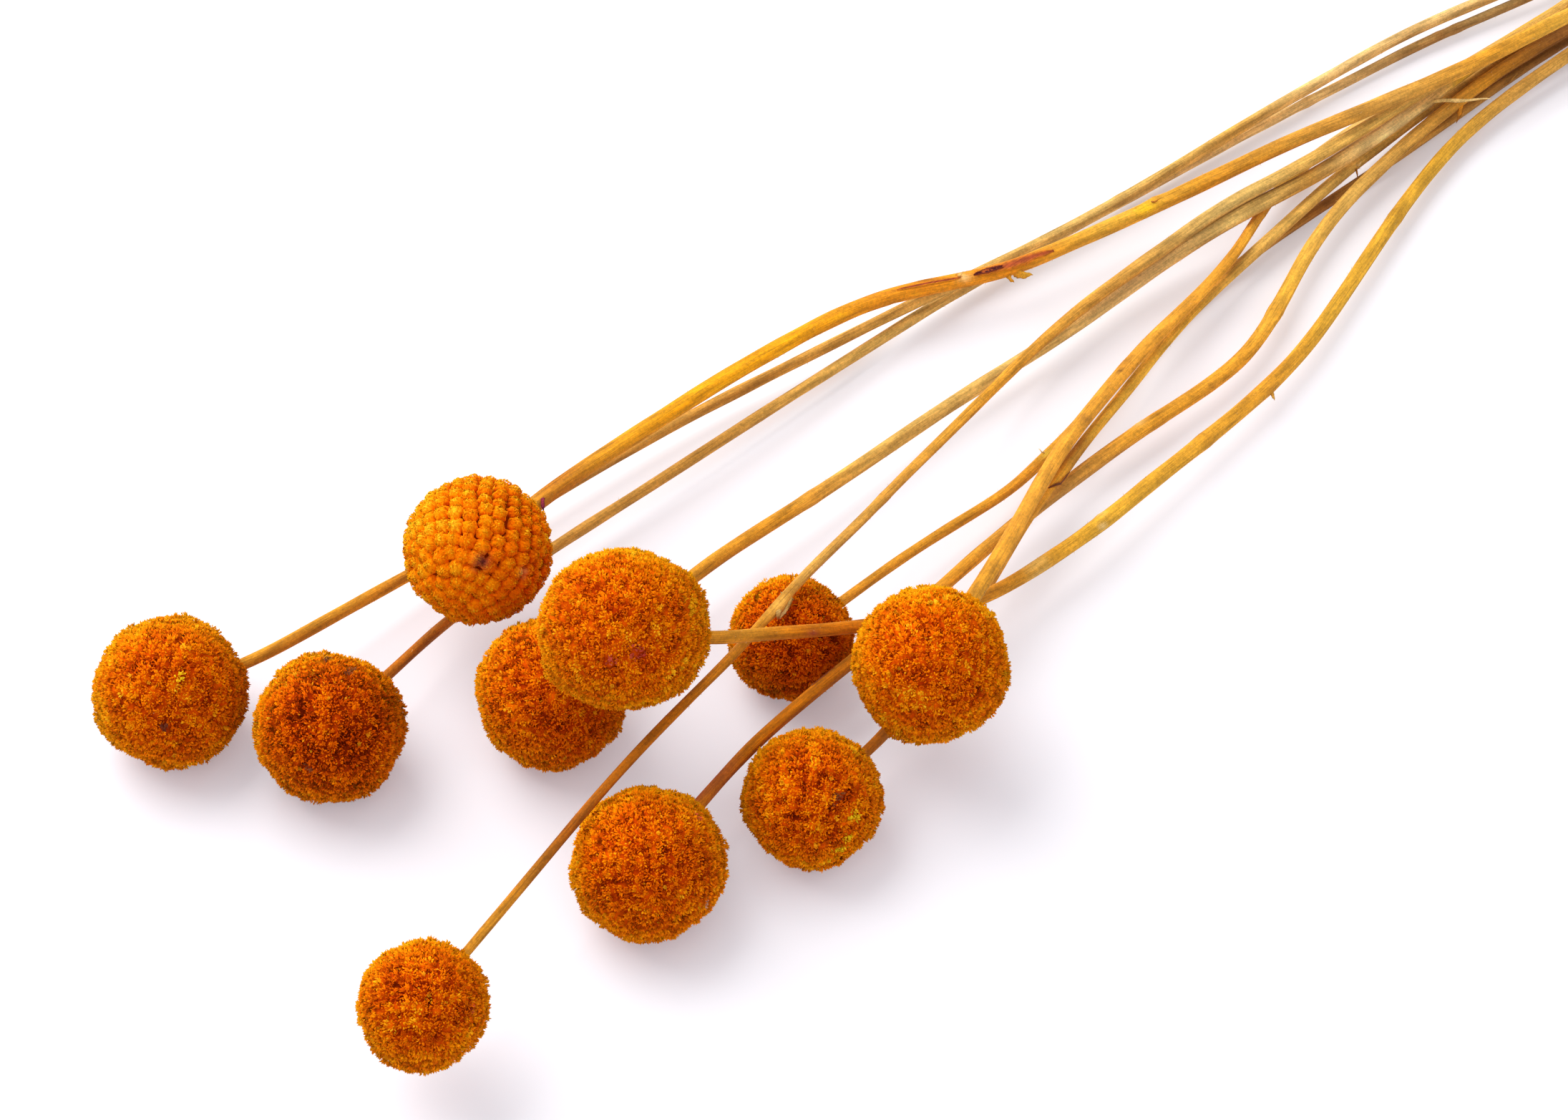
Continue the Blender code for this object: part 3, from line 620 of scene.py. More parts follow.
# A stain is a place, a half length, a colour and its share.
STALKS = {
    "01": dict(radius="-185 0.92 -90 0.95 -20 1.02 40 0.98 190 1.02", streaks=0.55, joints="-20 1.10",
               stains=[],
               skin="-180 gold -150 gold -125 tan -90 tan -68 wheat -30 cream 8 wheat 30 pale 190 cream"),
    "02": dict(radius="-170 0.82 -100 0.87 -30 0.96 20 0.92 60 0.86 190 0.88", streaks=0.4,
               joints="24 1.14 58 1.14", stains=[(66, 6, "lichen", 0.4)],
               skin="-170 umber -140 tan -105 tan -85 wheat -40 cream -15 pale 30 pale 46 drab 190 drab"),
    "03": dict(radius="-145 1.36 -75 1.37 -40 1.28 190 1.30", streaks=0.3, joints="-62 1.04",
               stains=[(-137, 4, "umber", 0.6)],
               skin="-136 old_gold -112 glow -88 glow -70 marigold -48 marigold -30 honey -10 gold "
                    "28 tan 48 gold 66 honey 190 wheat"),
    "04": dict(radius="-142 0.96 -112 1.0 -70 1.22 190 1.26", streaks=0.2, joints="-48 1.08 14 1.08",
               stains=[(-88, 2, "cream", 0.5)],
               skin="-136 old_gold -128 brass -116 brass -92 old_gold -74 corn -32 gold -12 corn "
                    "30 corn 50 tan 200 wheat"),
    "05": dict(radius="-145 1.12 -55 1.16 -30 1.36 12 1.38 45 1.2 190 1.16", streaks=0.4,
               joints="-104 1.08 52 1.12", stains=[(53, 2, "bark", 0.5), (64, 8, "yolk", 0.6)],
               skin="-130 gold -110 gold -92 wheat -50 cream -32 pale -12 cream 6 tan 26 pale "
                    "48 wheat 190 wheat"),
    "06": dict(radius="-108 0.76 -70 0.88 190 0.95", streaks=0.4, joints="-46 1.10",
               stains=[(-56, 3, "lemon", 0.6)],
               skin="-112 gold -95 gold -72 gold -52 honey -30 honey -12 tan 8 bark 28 tan "
                    "48 khaki 66 bark 110 khaki 190 khaki"),
    "07": dict(radius="-100 1.15 -55 1.2 -35 1.1 -15 0.92 -5 0.88 20 1.05 190 1.15", streaks=0.2,
               joints="-48 1.05 -4 1.10",
               stains=[(-62, 0.7, "bark", 0.5), (-5, 3, "peach", 0.6), (8, 6, "daffodil", 0.7)],
               skin="-100 gold -85 apricot -30 apricot -12 gold 10 wheat 30 cream 48 tan 68 honey "
                    "190 wheat"),
    "08": dict(radius="-125 0.88 -50 0.92 -10 1.02 190 1.02", streaks=0.35, joints="-70 1.08",
               stains=[(-66, 3, "cocoa", 0.5)],
               skin="-130 umber -100 tan -74 gold -56 honey -30 honey -10 wheat 28 wheat 50 wheat 190 tan"),
    "09": dict(radius="-152 0.94 -110 0.99 -60 1.17 10 1.2 190 1.15", streaks=0.25,
               joints="-18 1.12 -50 1.06", stains=[(-151, 4, "wine", 0.3)],
               skin="-152 brass -128 brass -95 gold -72 khaki -55 gold -30 gold -12 honey 10 wheat "
                    "28 tan 48 old_gold 66 bark 110 tan 190 tan"),
    "10": dict(radius="-198 0.68 -150 0.70 -100 0.77 -60 0.88 -30 1.18 12 1.2 45 1.0 190 0.98",
               streaks=0.35, joints="-100 1.10", stains=[(-119, 4, "wheat", 0.5)],
               skin="-194 old_gold -176 russet -150 brass -132 old_gold -112 tan -70 gold -32 tan "
                    "-12 cream 10 wheat 30 wheat 190 wheat"),
}


def stalk_radius(number, x):
    """Half width of a stalk in millimetres at a place along the bunch, between its own stops."""
    return np.interp(x, *stops(STALKS[number]["radius"]))


print("thickest stalk in mm:", max(round(2 * float(stalk_radius(n, -50)), 2) for n in NUMBERS))

# %% [markdown]
# Some things on the stalks can be told apart, so they stand where the picture shows them: a stain,
# a leaf scar that makes a small lump, a bright patch. The spot is searched for among the points of
# the stalk's near side, and a mark is a soft bell of lump and colour round it.

# %% Marks on the stalks
STALK_SIDES = 16
# Across and down in the picture, half length and half width in millimetres, colour, its share, lump.
STALK_MARKS = {
    "02": [(1753, 175, 0.8, 0.6, "bark", 0.5, 0.18), (2010, 48, 0.8, 0.6, "bark", 0.5, 0.2)],
    "03": [(1416, 367, 4.0, 0.5, "rust", 0.4, 0.0), (1300, 395, 3.0, 0.4, "rust", 0.35, 0.0),
           (1345, 388, 0.7, 0.5, "pale", 0.8, 0.22), (1246, 430, 0.5, 0.5, "bark", 0.6, -0.12),
           (1612, 278, 1.0, 0.35, "bark", 0.7, 0.3), (1602, 290, 1.3, 0.7, "buttercup", 0.8, 0.1),
           (1050, 565, 5.0, 0.3, "bark", 0.4, -0.03)],
    "04": [(1535, 716, 0.5, 0.7, "pale", 0.5, 0.14), (1541, 735, 0.5, 0.4, "pale", 0.8, 0.0),
           (1780, 545, 1.0, 0.6, "bark", 0.4, 0.15), (1138, 885, 0.7, 0.35, "wine", 0.6, 0.0)],
    "05": [(1998, 147, 0.8, 0.7, "bark", 0.6, 0.2), (2045, 108, 3.0, 0.8, "saffron", 0.7, 0.0)],
    "06": [(1464, 632, 0.8, 0.5, "primrose", 0.8, 0.12), (2100, 125, 1.6, 0.4, "bark", 0.6, -0.05)],
    "07": [(1564, 520, 0.35, 0.3, "peat", 0.85, 0.08), (1740, 300, 5.0, 0.4, "ginger", 0.6, 0.0)],
    "08": [(1481, 677, 1.5, 0.35, "bistre", 0.8, -0.06)],
    "09": [(1696, 539, 0.7, 0.6, "bark", 0.5, 0.15), (1587, 589, 0.8, 0.6, "pale", 0.7, 0.12),
           (965, 1115, 1.6, 0.5, "wine", 0.7, 0.0), (990, 1080, 0.9, 0.3, "wine", 0.5, 0.0)],
    "10": [(1086, 850, 1.7, 0.7, "wheat", 0.7, 0.45), (1096, 856, 0.7, 0.5, "bark", 0.5, 0.2),
           (1010, 960, 4.0, 0.25, "bark", 0.5, -0.03)],
}


def facing_spot(number, across, down):
    """The station, the turn, the place and the outward direction of the point on a stalk's near
    side that the picture shows closest to a given place."""
    line = LINES[number][0]
    side, above = tube_frame(line)
    fine = ring_turns(48)
    out = heading(fine[None, :], side[:, None, :], above[:, None, :])
    skin = line[:, None, :] + out * stalk_radius(number, line[:, 0])[:, None, None]
    miss = np.linalg.norm(in_picture(skin) - np.array([across, down]), axis=-1)
    miss = miss + np.where((out * (EYE - skin)).sum(axis=-1) > 0, 0.0, 1000.0)
    station, column = np.unravel_index(np.argmin(miss), miss.shape)
    return station, fine[column], skin[station, column], out[station, column]


def near_mark(number, across, down, half_length, half_width):
    """How much each point of the stalk's surface belongs to a mark: exp(-d^2 / 2), where d is the
    distance as a share of the mark's half length along the stalk and half width round it."""
    line, s = LINES[number]
    station, turn, _, _ = facing_spot(number, across, down)
    round_by = (np.abs((ring_turns(STALK_SIDES) - turn + math.pi) % FULL_TURN - math.pi)
                * stalk_radius(number, line[station, 0]))
    return np.exp(-0.5 * ((s - s[station]) / half_length)[:, None] ** 2
                  - 0.5 * (round_by / half_width)[None, :] ** 2)


print("marks on the stalks:", sum(len(marks) for marks in STALK_MARKS.values()))

# %% [markdown]
# Dry skin also tears. A flake is a thin closed strip that starts in the skin at one place in the
# picture, runs to another and lifts off towards the eye. Broken leaf bases, curls of skin, short
# splinters and the purple shred behind the bud head are all flakes of other sizes and colours.

# %% Flakes of skin
FLAKE_STEPS = 11
FLAKE_SIDES = 6
# Across and down in the picture, run and fall from there, lift and width in mm, foot and tip colour.
STALK_FLAKES = {
    "03": [(1414, 384, 27, 0, 0.6, 1.9, "gold", "corn"), (1410, 387, 9, 9, 0.4, 1.0, "gold", "old_gold"),
           (1334, 386, 12, -5, 0.35, 0.8, "old_gold", "pale"), (757, 694, 2, 26, 1.5, 0.8, "wine", "plum"),
           (1606, 282, 16, -4, 0.4, 0.5, "bark", "umber")],
    "04": [(1780, 548, 3, 13, 0.4, 0.9, "old_gold", "wheat")],
    "05": [(2066, 96, 10, -7, 0.4, 0.8, "wheat", "pale"), (2000, 143, 84, -4, 1.0, 0.9, "cream", "pale")],
    "06": [(1462, 632, -11, -5, 0.5, 0.35, "pale", "pale"), (2096, 130, 25, -24, 0.6, 0.5, "bark", "tan")],
    "07": [(1766, 276, 20, -10, 1.4, 0.8, "marigold", "maize")],
    "08": [(1894, 234, 1, 21, 0.6, 0.45, "bark", "umber"), (1898, 234, 6, -8, 0.5, 0.5, "pale", "pale")],
    "09": [(1587, 589, 10, 8, 0.4, 0.7, "pale", "wheat"),
           (2046, 142, -10, 30, 0.6, 1.3, "marigold", "bark")],
    "10": [(1102, 832, -13, 34, 0.9, 2.3, "biscuit", "ivory"),
           (1092, 846, -3, 20, 1.2, 1.3, "cream", "bark")],
}


def flake(number, across, down, run, fall, lift, width, base, tip):
    """One flake as a part. At the share t of its run the spine lifts by lift * sin(0.8 pi t), its
    foot lies 0.35 (1 - t)^2 deep in the skin, and its width tears away as (1 - t)^0.7."""
    station, _, foot, out = facing_spot(number, across, down)
    scale = (foot - EYE) @ FORWARD / FOCAL
    t = np.linspace(0, 1, FLAKE_STEPS)[:, None]
    reach = RIGHT * run * scale - ABOVE * fall * scale
    spine = (foot - 0.35 * out * (1 - t) ** 2 + reach * t - FORWARD * lift * np.sin(0.8 * math.pi * t)
             + 0.12 * np.sin(9 * t) * ABOVE)
    spine[:, 2] = np.maximum(spine[:, 2], 0.2)
    along = tangent(spine)
    side = unit(np.cross(along, FORWARD - 0.5 * out))
    random = np.random.default_rng(int(across * 7 + down))
    wide = 0.5 * width * ((1 - t[:, 0]) ** 0.7 + 0.03) * random.uniform(0.72, 1.18, FLAKE_STEPS)
    turn = ring_turns(FLAKE_SIDES)
    thick = 0.06 * np.sin(turn) + 0.12 * np.cos(2 * turn) * wide[:, None]
    points = (spine[:, None, :] + (wide[:, None] * np.cos(turn))[..., None] * side[:, None, :]
              + thick[..., None] * np.cross(side, along)[:, None, :])
    tint = blend_colours(PALETTE[base], PALETTE[tip], t[:, 0] + random.normal(0, 0.1, FLAKE_STEPS))
    shade = tint[:, None, :] * random.uniform(0.85, 1.1, (FLAKE_STEPS, FLAKE_SIDES, 1))
    points = capped(points, spine[0], spine[-1])
    return points, tube_faces(FLAKE_STEPS, FLAKE_SIDES), capped(shade, tint[0], tint[-1]), points - foot


print("flakes on the stalks:", sum(len(flakes) for flakes in STALK_FLAKES.values()))

# %% [markdown]
# The skin of the thick yellow stalk has split open along its near side. Sixteen sides round a stalk
# are too coarse for such a thin line, so a split is a fine closed strip of its own: two lips of skin
# stand up, and a dark floor lies between them, its own colour darkened by painted shade of the split.

# %% Splits in the skin
SPLIT_STEPS = 25
LIP_TURNS = np.array([-1.0, -0.75, -0.4, 0.0, 0.4, 0.75, 1.0])
FLOOR_SHARE = np.array([0.0, 0.1, 0.8, 1.0, 0.85, 0.15, 0.0, 0.0])
# Places in the picture, width and height of the lips in millimetres, lip and floor colour.
STALK_SPLITS = {
    "03": [([(1358, 385), (1380, 379), (1408, 371), (1440, 360), (1468, 352)], 1.7, 0.2, "copper", "brick"),
           ([(1357, 385), (1378, 379), (1400, 373)], 0.9, 0.26, "chestnut", "garnet"),
           ([(1250, 406), (1296, 396), (1344, 388)], 0.7, 0.12, "tangerine", "mahogany")],
    "08": [([(1462, 686), (1481, 677), (1500, 664)], 0.7, 0.1, "umber", "bistre")],
    "09": [([(1150, 915), (1120, 945)], 0.5, 0.08, "umber", "sepia")],
}


def split(number, places, width, lip, lip_colour, floor_colour):
    """One split as a part. It follows places in the picture along the stalk's near side, its lips
    stand up by lip millimetres, and its width goes as sin(pi t)^0.6 times a small waver."""
    line, s = LINES[number]
    t = np.linspace(0, 1, SPLIT_STEPS)
    corners = np.array(places, float)
    run = along_line(corners)
    want = read_off(t * run[-1], run, corners)
    fine = read_off(np.linspace(0, s[-1], 4000), s, line)
    flat = in_picture(fine)
    at = np.argmin(np.linalg.norm(flat[None, :, :] - want[:, None, :], axis=2), axis=1)
    middle = fine[at]
    along = tangent(fine)[at]
    to_eye = made_square(EYE - middle, along)
    across = np.cross(along, to_eye)
    scale = ((middle - EYE) @ FORWARD / FOCAL)[:, None]
    offset = (RIGHT * (want - flat[at])[:, :1] - ABOVE * (want - flat[at])[:, 1:]) * scale
    radius = stalk_radius(number, middle[:, 0])
    lean = np.clip((offset * across).sum(axis=1) / radius, -0.9, 0.9)
    random = np.random.default_rng(int(corners.sum()))
    half = (0.5 * width * np.sin(math.pi * (0.03 + 0.94 * t)) ** 0.6
            * (1 + 0.12 * random.normal(size=len(t))))
    lifts = np.array([-0.05, lip, 0.06, 0.05, 0.06, lip, -0.05])
    turn = np.arcsin(lean)[:, None] + LIP_TURNS[None, :] * half[:, None] / radius[:, None]
    out = heading(turn, to_eye[:, None, :], across[:, None, :])
    reach = (radius[:, None] * 1.04 + lifts * np.minimum(1, 4 * np.sin(math.pi * t))[:, None]
             + 0.01 * random.normal(size=turn.shape))
    top = middle[:, None, :] + out * reach[..., None]
    under = middle + to_eye * (radius * 0.6)[:, None]
    points = np.concatenate([top, under[:, None, :]], axis=1)
    # The floor is painted darker than the lips, as the shade down in the split.
    tint = (blend_colours(PALETTE[lip_colour], PALETTE[floor_colour], FLOOR_SHARE)
            * random.uniform(0.85, 1.12, (len(t), len(FLOOR_SHARE), 1)))
    points = capped(points, points[0].mean(axis=0), points[-1].mean(axis=0))
    faces = tube_faces(len(t), len(FLOOR_SHARE))
    return points, faces, capped(tint, tint[0, 0], tint[-1, 0]), points - middle[0]


print("splits in the stalks:", sum(len(splits) for splits in STALK_SPLITS.values()))

# %% [markdown]
# The skin itself is one surface of two parameters: distance along the line, and angle round it.
# Ribs, an oval, slow swells and joints all change the radius, and the same ribs guide the long
# streaks of colour, with painted shade and light: darker in the furrows and lighter on the crests.
# Fine down stands on it.

# %% Stalks
# Darker skin for the random streaks and the joints, and for the painted shade in the rib furrows.
FURROW = np.array([0.58, 0.46, 0.34])
TWIST = 0.004
RIB_COUNTS = (5, 3)
RIB_DEPTH = 0.05
OVAL_DEPTH = 0.035
JOINT_REACH = 0.9
STREAK_SHAPE = np.array([0.07, 1.0, 1.0])
STALK_LOWEST = 0.01
HAIRS_PER_STALK = 420
HAIR_WIDTHS = (0.05, 0.09)
HAIR_LENGTHS = (0.25, 0.6)


def stalk_surface(number):
    """Points, colours and grain of one stalk. The radius at distance s and angle t is the stalk's
    own radius times 1 + ribs(t) * depth(s) + oval(t) + slow swells(s) + joints(s), plus marks."""
    style = STALKS[number]
    line, s = LINES[number]
    seed = 300 + int(number)
    random = np.random.default_rng(seed)
    angle = ring_turns(STALK_SIDES)
    marks = [(near_mark(number, *mark[:4]), *mark[4:]) for mark in STALK_MARKS.get(number, [])]
    turn = angle[None, :] + TWIST * s[:, None] * random.uniform(-1, 1)
    taper = stalk_radius(number, line[:, 0])
    depth = RIB_DEPTH + 0.015 * wander(s[:, None], 40.0, seed)
    ribs = sum(0.8 * np.cos(count * turn + random.uniform(0, 6)) for count in RIB_COUNTS)
    oval = OVAL_DEPTH * np.cos(2 * turn + 0.02 * s[:, None] + random.uniform(0, 6))
    swell = 0.012 * wander(s[:, None], 14.0, seed + 1) - 0.01
    for x, size in zip(*stops(style["joints"])):
        swell = swell + (size - 1) * bell(line[:, 0] - x, JOINT_REACH)
    radius = taper[:, None] * (1 + depth[:, None] * ribs + oval + swell[:, None])
    for near, _, _, lump in marks:
        radius = radius + lump * near
    across, above = tube_frame(line)
    points = line[:, None, :] + radius[..., None] * heading(angle[None, :], across[:, None], above[:, None])
    grain = np.stack([np.broadcast_to(s[:, None], radius.shape), taper[:, None] * np.cos(turn),
                      taper[:, None] * np.sin(turn)], -1)

    skin = read_off(line[:, 0], *stops(style["skin"]))[:, None, :]
    stretched = grain * STREAK_SHAPE
    # Less the ribs: painted shade darkens the furrows and painted light lifts the crests.
    streak = 0.5 + 0.5 * wander(stretched, 1.3, seed + 2) - 0.25 * ribs
    patch = 0.5 + 0.5 * wander(stretched * [0.8, 0.25, 0.25], 1.6, seed + 3)
    streak_and_furrow_shade = np.clip(0.9 * streak**2 + 0.25 * patch, 0, 1)
    tint = blend_colours(skin, skin * FURROW, style["streaks"] * streak_and_furrow_shade)
    tint = tint * (1.0 + 0.12 * wander(stretched * [2.5, 1, 1], 1.2, seed + 4))[..., None]
    for x in stops(style["joints"])[0]:
        tint = blend_colours(tint, tint * FURROW, 0.3 * bell(line[:, 0] - x, 0.8)[:, None])
    for x, half_length, stain, share in style["stains"]:
        near = bell(line[:, 0] - x, half_length, 4)[:, None] * np.clip(0.75 + 0.5 * streak, 0, 1)
        tint = blend_colours(tint, PALETTE[stain], share * near)
    for near, stain, share, _ in marks:
        tint = blend_colours(tint, PALETTE[stain], share * near)
    return points, tint, grain


def stalk_down(number, points, tint, grain):
    """Short pale hairs that stand on the skin at random places, as a part."""
    line = LINES[number][0]
    random = np.random.default_rng(500 + int(number))
    row = random.integers(6, len(line) - 2, HAIRS_PER_STALK)
    column = random.integers(0, STALK_SIDES, HAIRS_PER_STALK)
    roots = points[row, column]
    out = unit(roots - line[row])
    along = tangent(line)[row]
    axes = unit(out * random.uniform(0.15, 0.9, (len(row), 1))
                + along * random.normal(0, 1.0, (len(row), 1)) + 0.4 * random.normal(size=out.shape))
    hairs = plant(HAIR, roots - 0.03 * out, axes, square_to(axes, random),
                  random.uniform(*HAIR_WIDTHS, len(row)), random.uniform(*HAIR_LENGTHS, len(row)))
    fair = blend_colours(tint[row, column], PALETTE["down"], random.uniform(0.2, 0.8, len(row)))
    return planted(HAIR_FACES, len(HAIR), hairs, np.repeat(fair, len(HAIR), axis=0),
                   np.repeat(grain[row, column], len(HAIR), axis=0))


def finish_stalk(number):
    """One stalk piece: the ribbed surface, closed at both ends, its down, flakes and splits."""
    points, tint, grain = stalk_surface(number)
    length = LINES[number][1][-1]
    skin = (capped(points, points[0].mean(axis=0), points[-1].mean(axis=0)),
            tube_faces(*points.shape[:2]), capped(tint, tint[0, 0], PALETTE["pith"]),
            capped(grain, [0, 0, 0], [length, 0, 0]))
    parts = [skin, stalk_down(number, points, tint, grain)]
    parts += [flake(number, *values) for values in STALK_FLAKES.get(number, [])]
    parts += [split(number, *values) for values in STALK_SPLITS.get(number, [])]
    points, faces, tint, grain = joined(parts, STALK_LOWEST)
    return make_piece("stalk_" + number, "stem_" + number, points, faces, STALK_FINISH, tint, grain)


for number in NUMBERS:
    finish_stalk(number)

# %% [markdown]
# A head is a ball packed with florets in the double spirals of a sunflower. A spiral lattice with
# the golden angle gives those places. The middle and radius of the ball are read from the solid,
# and its crown points away from the stalk.

# %% Head balls and lattices
GOLDEN_TURN = math.pi * (3.0 - math.sqrt(5.0))
SOLID_SWELL = 1.012


def head_ball(number):
    """Middle, radius and crown direction of a head, read from its solid's box and its stalk."""
    low, high = (np.array(corner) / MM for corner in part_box("head_" + number))
    radius = 0.25 * (high[0] - low[0] + high[1] - low[1]) / SOLID_SWELL
    centre = np.array([0.5 * (low[0] + high[0]), 0.5 * (low[1] + high[1]), high[2] - radius * SOLID_SWELL])
    line = LINES[number][0]
    return centre, radius, unit(line[0] - line[8])


def lattice_count(radius, pitch):
    """How many places a pitch apart a ball has room for: its area over that of one place."""
    return int(4 * math.pi * radius**2 / (pitch**2 * math.sin(math.pi / 3)))


def spiral_lattice(count, crown):
    """Even places on a unit ball: height falls in equal steps from the crown while the turn grows
    by the golden angle."""
    order = np.arange(count)
    height = 1 - (2 * order + 1) / count
    ring = np.sqrt(1 - height**2)
    turn = order * GOLDEN_TURN
    local = np.stack([ring * np.cos(turn), ring * np.sin(turn), height], -1)
    pole = Vector((0, 0, 1)).rotation_difference(Vector(crown)).to_matrix()
    return local @ np.array(pole).T


def clear_of_stalk(number, centre, radius, out, room):
    """True for the directions whose place on the ball is further than room from the stalk."""
    line = LINES[number][0][:40]
    place = centre + out * radius
    return np.linalg.norm(place[:, None, :] - line[None, :, :], axis=-1).min(axis=1) > room


def core_ball(centre, radius_of, rows=46, columns=76):
    """Points and faces of a closed ball under the florets: rings from pole to pole, each point as
    far out as radius_of says for its direction, and flat on the table."""
    tall = math.pi * (np.arange(rows) + 1) / (rows + 1)
    turn = ring_turns(columns)
    out = np.stack([np.sin(tall)[:, None] * np.cos(turn), np.sin(tall)[:, None] * np.sin(turn),
                    np.cos(tall)[:, None] * np.ones(columns)], -1)
    points = capped(out, (0, 0, 1.0), (0, 0, -1.0))
    points = centre + points * radius_of(points)[:, None]
    points[:, 2] = np.maximum(points[:, 2], 0.03)
    return points, [face[:, ::-1] for face in tube_faces(rows, columns)]


BALLS = {number: head_ball(number) for number in NUMBERS}
print("head radii in mm:", {k: round(v[1], 2) for k, v in BALLS.items()})

# %% [markdown]
# Florets stand in knobs about two millimetres across, so a head has domes with seams between them.
# A second, wider lattice gives the middles of the knobs, and every floret belongs to the nearest.

# %% Knobs of florets
KNOB_PITCH = 2.36


def knob_lattice(radius, crown, random):
    """Middles of the knobs of florets, on the spiral lattice, a little uneven."""
    knob = spiral_lattice(lattice_count(radius, KNOB_PITCH), crown)
    return unit(knob + 0.014 * random.normal(size=knob.shape))


def knob_place(out, knob, radius):
    """Where each direction lies in its own knob: its offset from the nearest knob's middle, as a
    share of half the pitch, how near it is to the middle, from 1 there to 0 at the seam, and the
    knob's number."""
    nearest = np.argmax(out @ knob.T, axis=1)
    offset = (out - knob[nearest]) * radius / (0.5 * KNOB_PITCH)
    return offset, np.clip(1 - (offset**2).sum(axis=1) / 1.3, 0, 1), nearest


def side_pair(axes):
    """Two unit directions square to each axis and to each other."""
    first = unit(np.cross(axes, np.where(np.abs(axes[:, 2:]) < 0.9, [[0, 0, 1.0]], [[1.0, 0, 0]])))
    return first, np.cross(axes, first)


def fit_above_table(roots, axes, lengths):
    """Lengths cut so that no tip goes under the table."""
    tips = roots[:, 2] + axes[:, 2] * lengths
    room = (roots[:, 2] - 0.05) / np.maximum(roots[:, 2] - tips, 1e-6)
    return lengths * np.clip(np.where(tips < 0.05, room, 1.0), 0.15, 1.0)


print("knobs on the largest head:", lattice_count(max(ball[1] for ball in BALLS.values()), KNOB_PITCH))

# %% [markdown]
# Nine of the heads are fully open. Each floret is a tube less than a millimetre wide. Some still end
# in a star of five lobes round a throat, and on most the lobes and bristles have dried into a tuft of
# splayed strokes. Throats and the feet of strokes are painted darker, as the shade down between the
# florets. First come the moods of the heads: how light each one is, and the marks on it that the
# picture shows. Then come the shapes of the stars, and of the strokes of the tufts.

# %% Stars and tufts
FLORET_SPACING = 0.795
FLORET_LENGTHS = (0.92, 1.12)
FLORET_WIDTHS = (0.92, 1.19)
STAR_SHARE = 0.3
STAR_POINTS = 12
STROKES_PER_STAR = 2
STROKES_PER_TUFT = 7
STROKE_LEANS = (5, 58)
STROKE_LENGTHS = (0.55, 0.95)
STROKE_WIDTHS = (0.23, 0.42)
STROKE_ROOT = 0.78
# Tone steps for the points of a star and of a stroke: throat and feet are painted darker, as the shade down
# between the florets, and tips are lighter.
STAR_STEPS = np.concatenate([[-0.17], np.full(5, -0.06), np.full(5, 0.07), [-0.34]])
STROKE_STEPS = np.array([-0.12, 0.02, 0.02, 0.08])
STAR_FACES = np.array([face for k in range(5) for face in (
    (0, 6 + k, 1 + k), (0, 1 + k, 6 + (k + 1) % 5), (11, 1 + k, 6 + k), (11, 6 + (k + 1) % 5, 1 + k))])


def mood(tone, *marks, patch=0.06, stretch=0.0):
    """A head's tone, its marks, how much its tone varies and how much longer its crown way is. A
    mark is a place across and down in the picture, a reach in millimetres and a colour."""
    return tone, marks, patch, stretch


HEAD_MOODS = {
    "01": mood(0.555, (214, 998, 0.4, "pale"), (231, 1020, 0.8, "smudge"), (252, 946, 0.5, "pollen"),
               patch=0.05),
    "02": mood(0.385, (456, 918, 0.9, "smudge"), (490, 938, 0.7, "smudge"), (432, 1076, 0.5, "smudge")),
    "04": mood(0.615, (890, 913, 1.0, "rose"), (853, 925, 0.8, "coral"), (970, 845, 1.6, "sunlit"),
               stretch=0.045),
    "05": mood(0.515, (672, 986, 0.5, "smudge")),
    "06": mood(0.44),
    "07": mood(0.61),
    "08": mood(0.56, (1196, 1142, 0.9, "pollen"), (1188, 1172, 0.8, "pollen"), (1176, 1192, 1.0, "pollen"),
               (1162, 1206, 0.8, "pollen"), (1138, 1060, 0.6, "pollen"), (1172, 1112, 1.0, "smudge")),
    "09": mood(0.55, (976, 1142, 0.6, "cherry"), (988, 1264, 0.6, "ash")),
    "10": mood(0.565, (664, 1408, 0.5, "poppy"), (600, 1400, 0.4, "pollen")),
}


def star_shapes(count, random):
    """Five-lobed florets, each different: point 0 is the throat, 1 to 5 the notches between lobes,
    6 to 10 the lobe tips, which curl out further than the notches, and 11 the foot."""
    turn = ring_turns(5) + random.normal(0, 0.13, (count, 5))
    notch_turn = ring_turns(5) + FULL_TURN / 10 + random.normal(0, 0.08, (count, 5))
    reach = random.uniform(0.26, 0.46, (count, 5))
    notch = random.uniform(0.19, 0.27, (count, 5))
    tips = np.stack([reach * np.cos(turn), reach * np.sin(turn), random.uniform(0.82, 1.14, (count, 5))], -1)
    notches = np.stack([notch * np.cos(notch_turn), notch * np.sin(notch_turn),
                        random.uniform(0.66, 0.82, (count, 5))], -1)
    throat = np.tile([0.0, 0.0, 0.52], (count, 1, 1))
    return np.concatenate([throat, notches, tips, 0 * throat], axis=1)


def star_florets(roots, axes, widths, lengths, tone, random):
    """Points and tones of the open stars. Throat, notches and tips climb the ladder of tones."""
    stars = plant(star_shapes(len(roots), random), roots, axes, square_to(axes, random), widths, lengths)
    tones = tone[:, None] + STAR_STEPS[None, :] * random.uniform(0.8, 1.2, (len(roots), 1))
    tones[:, 6:11] += random.normal(0, 0.03, (len(tones), 5))
    return stars, tones


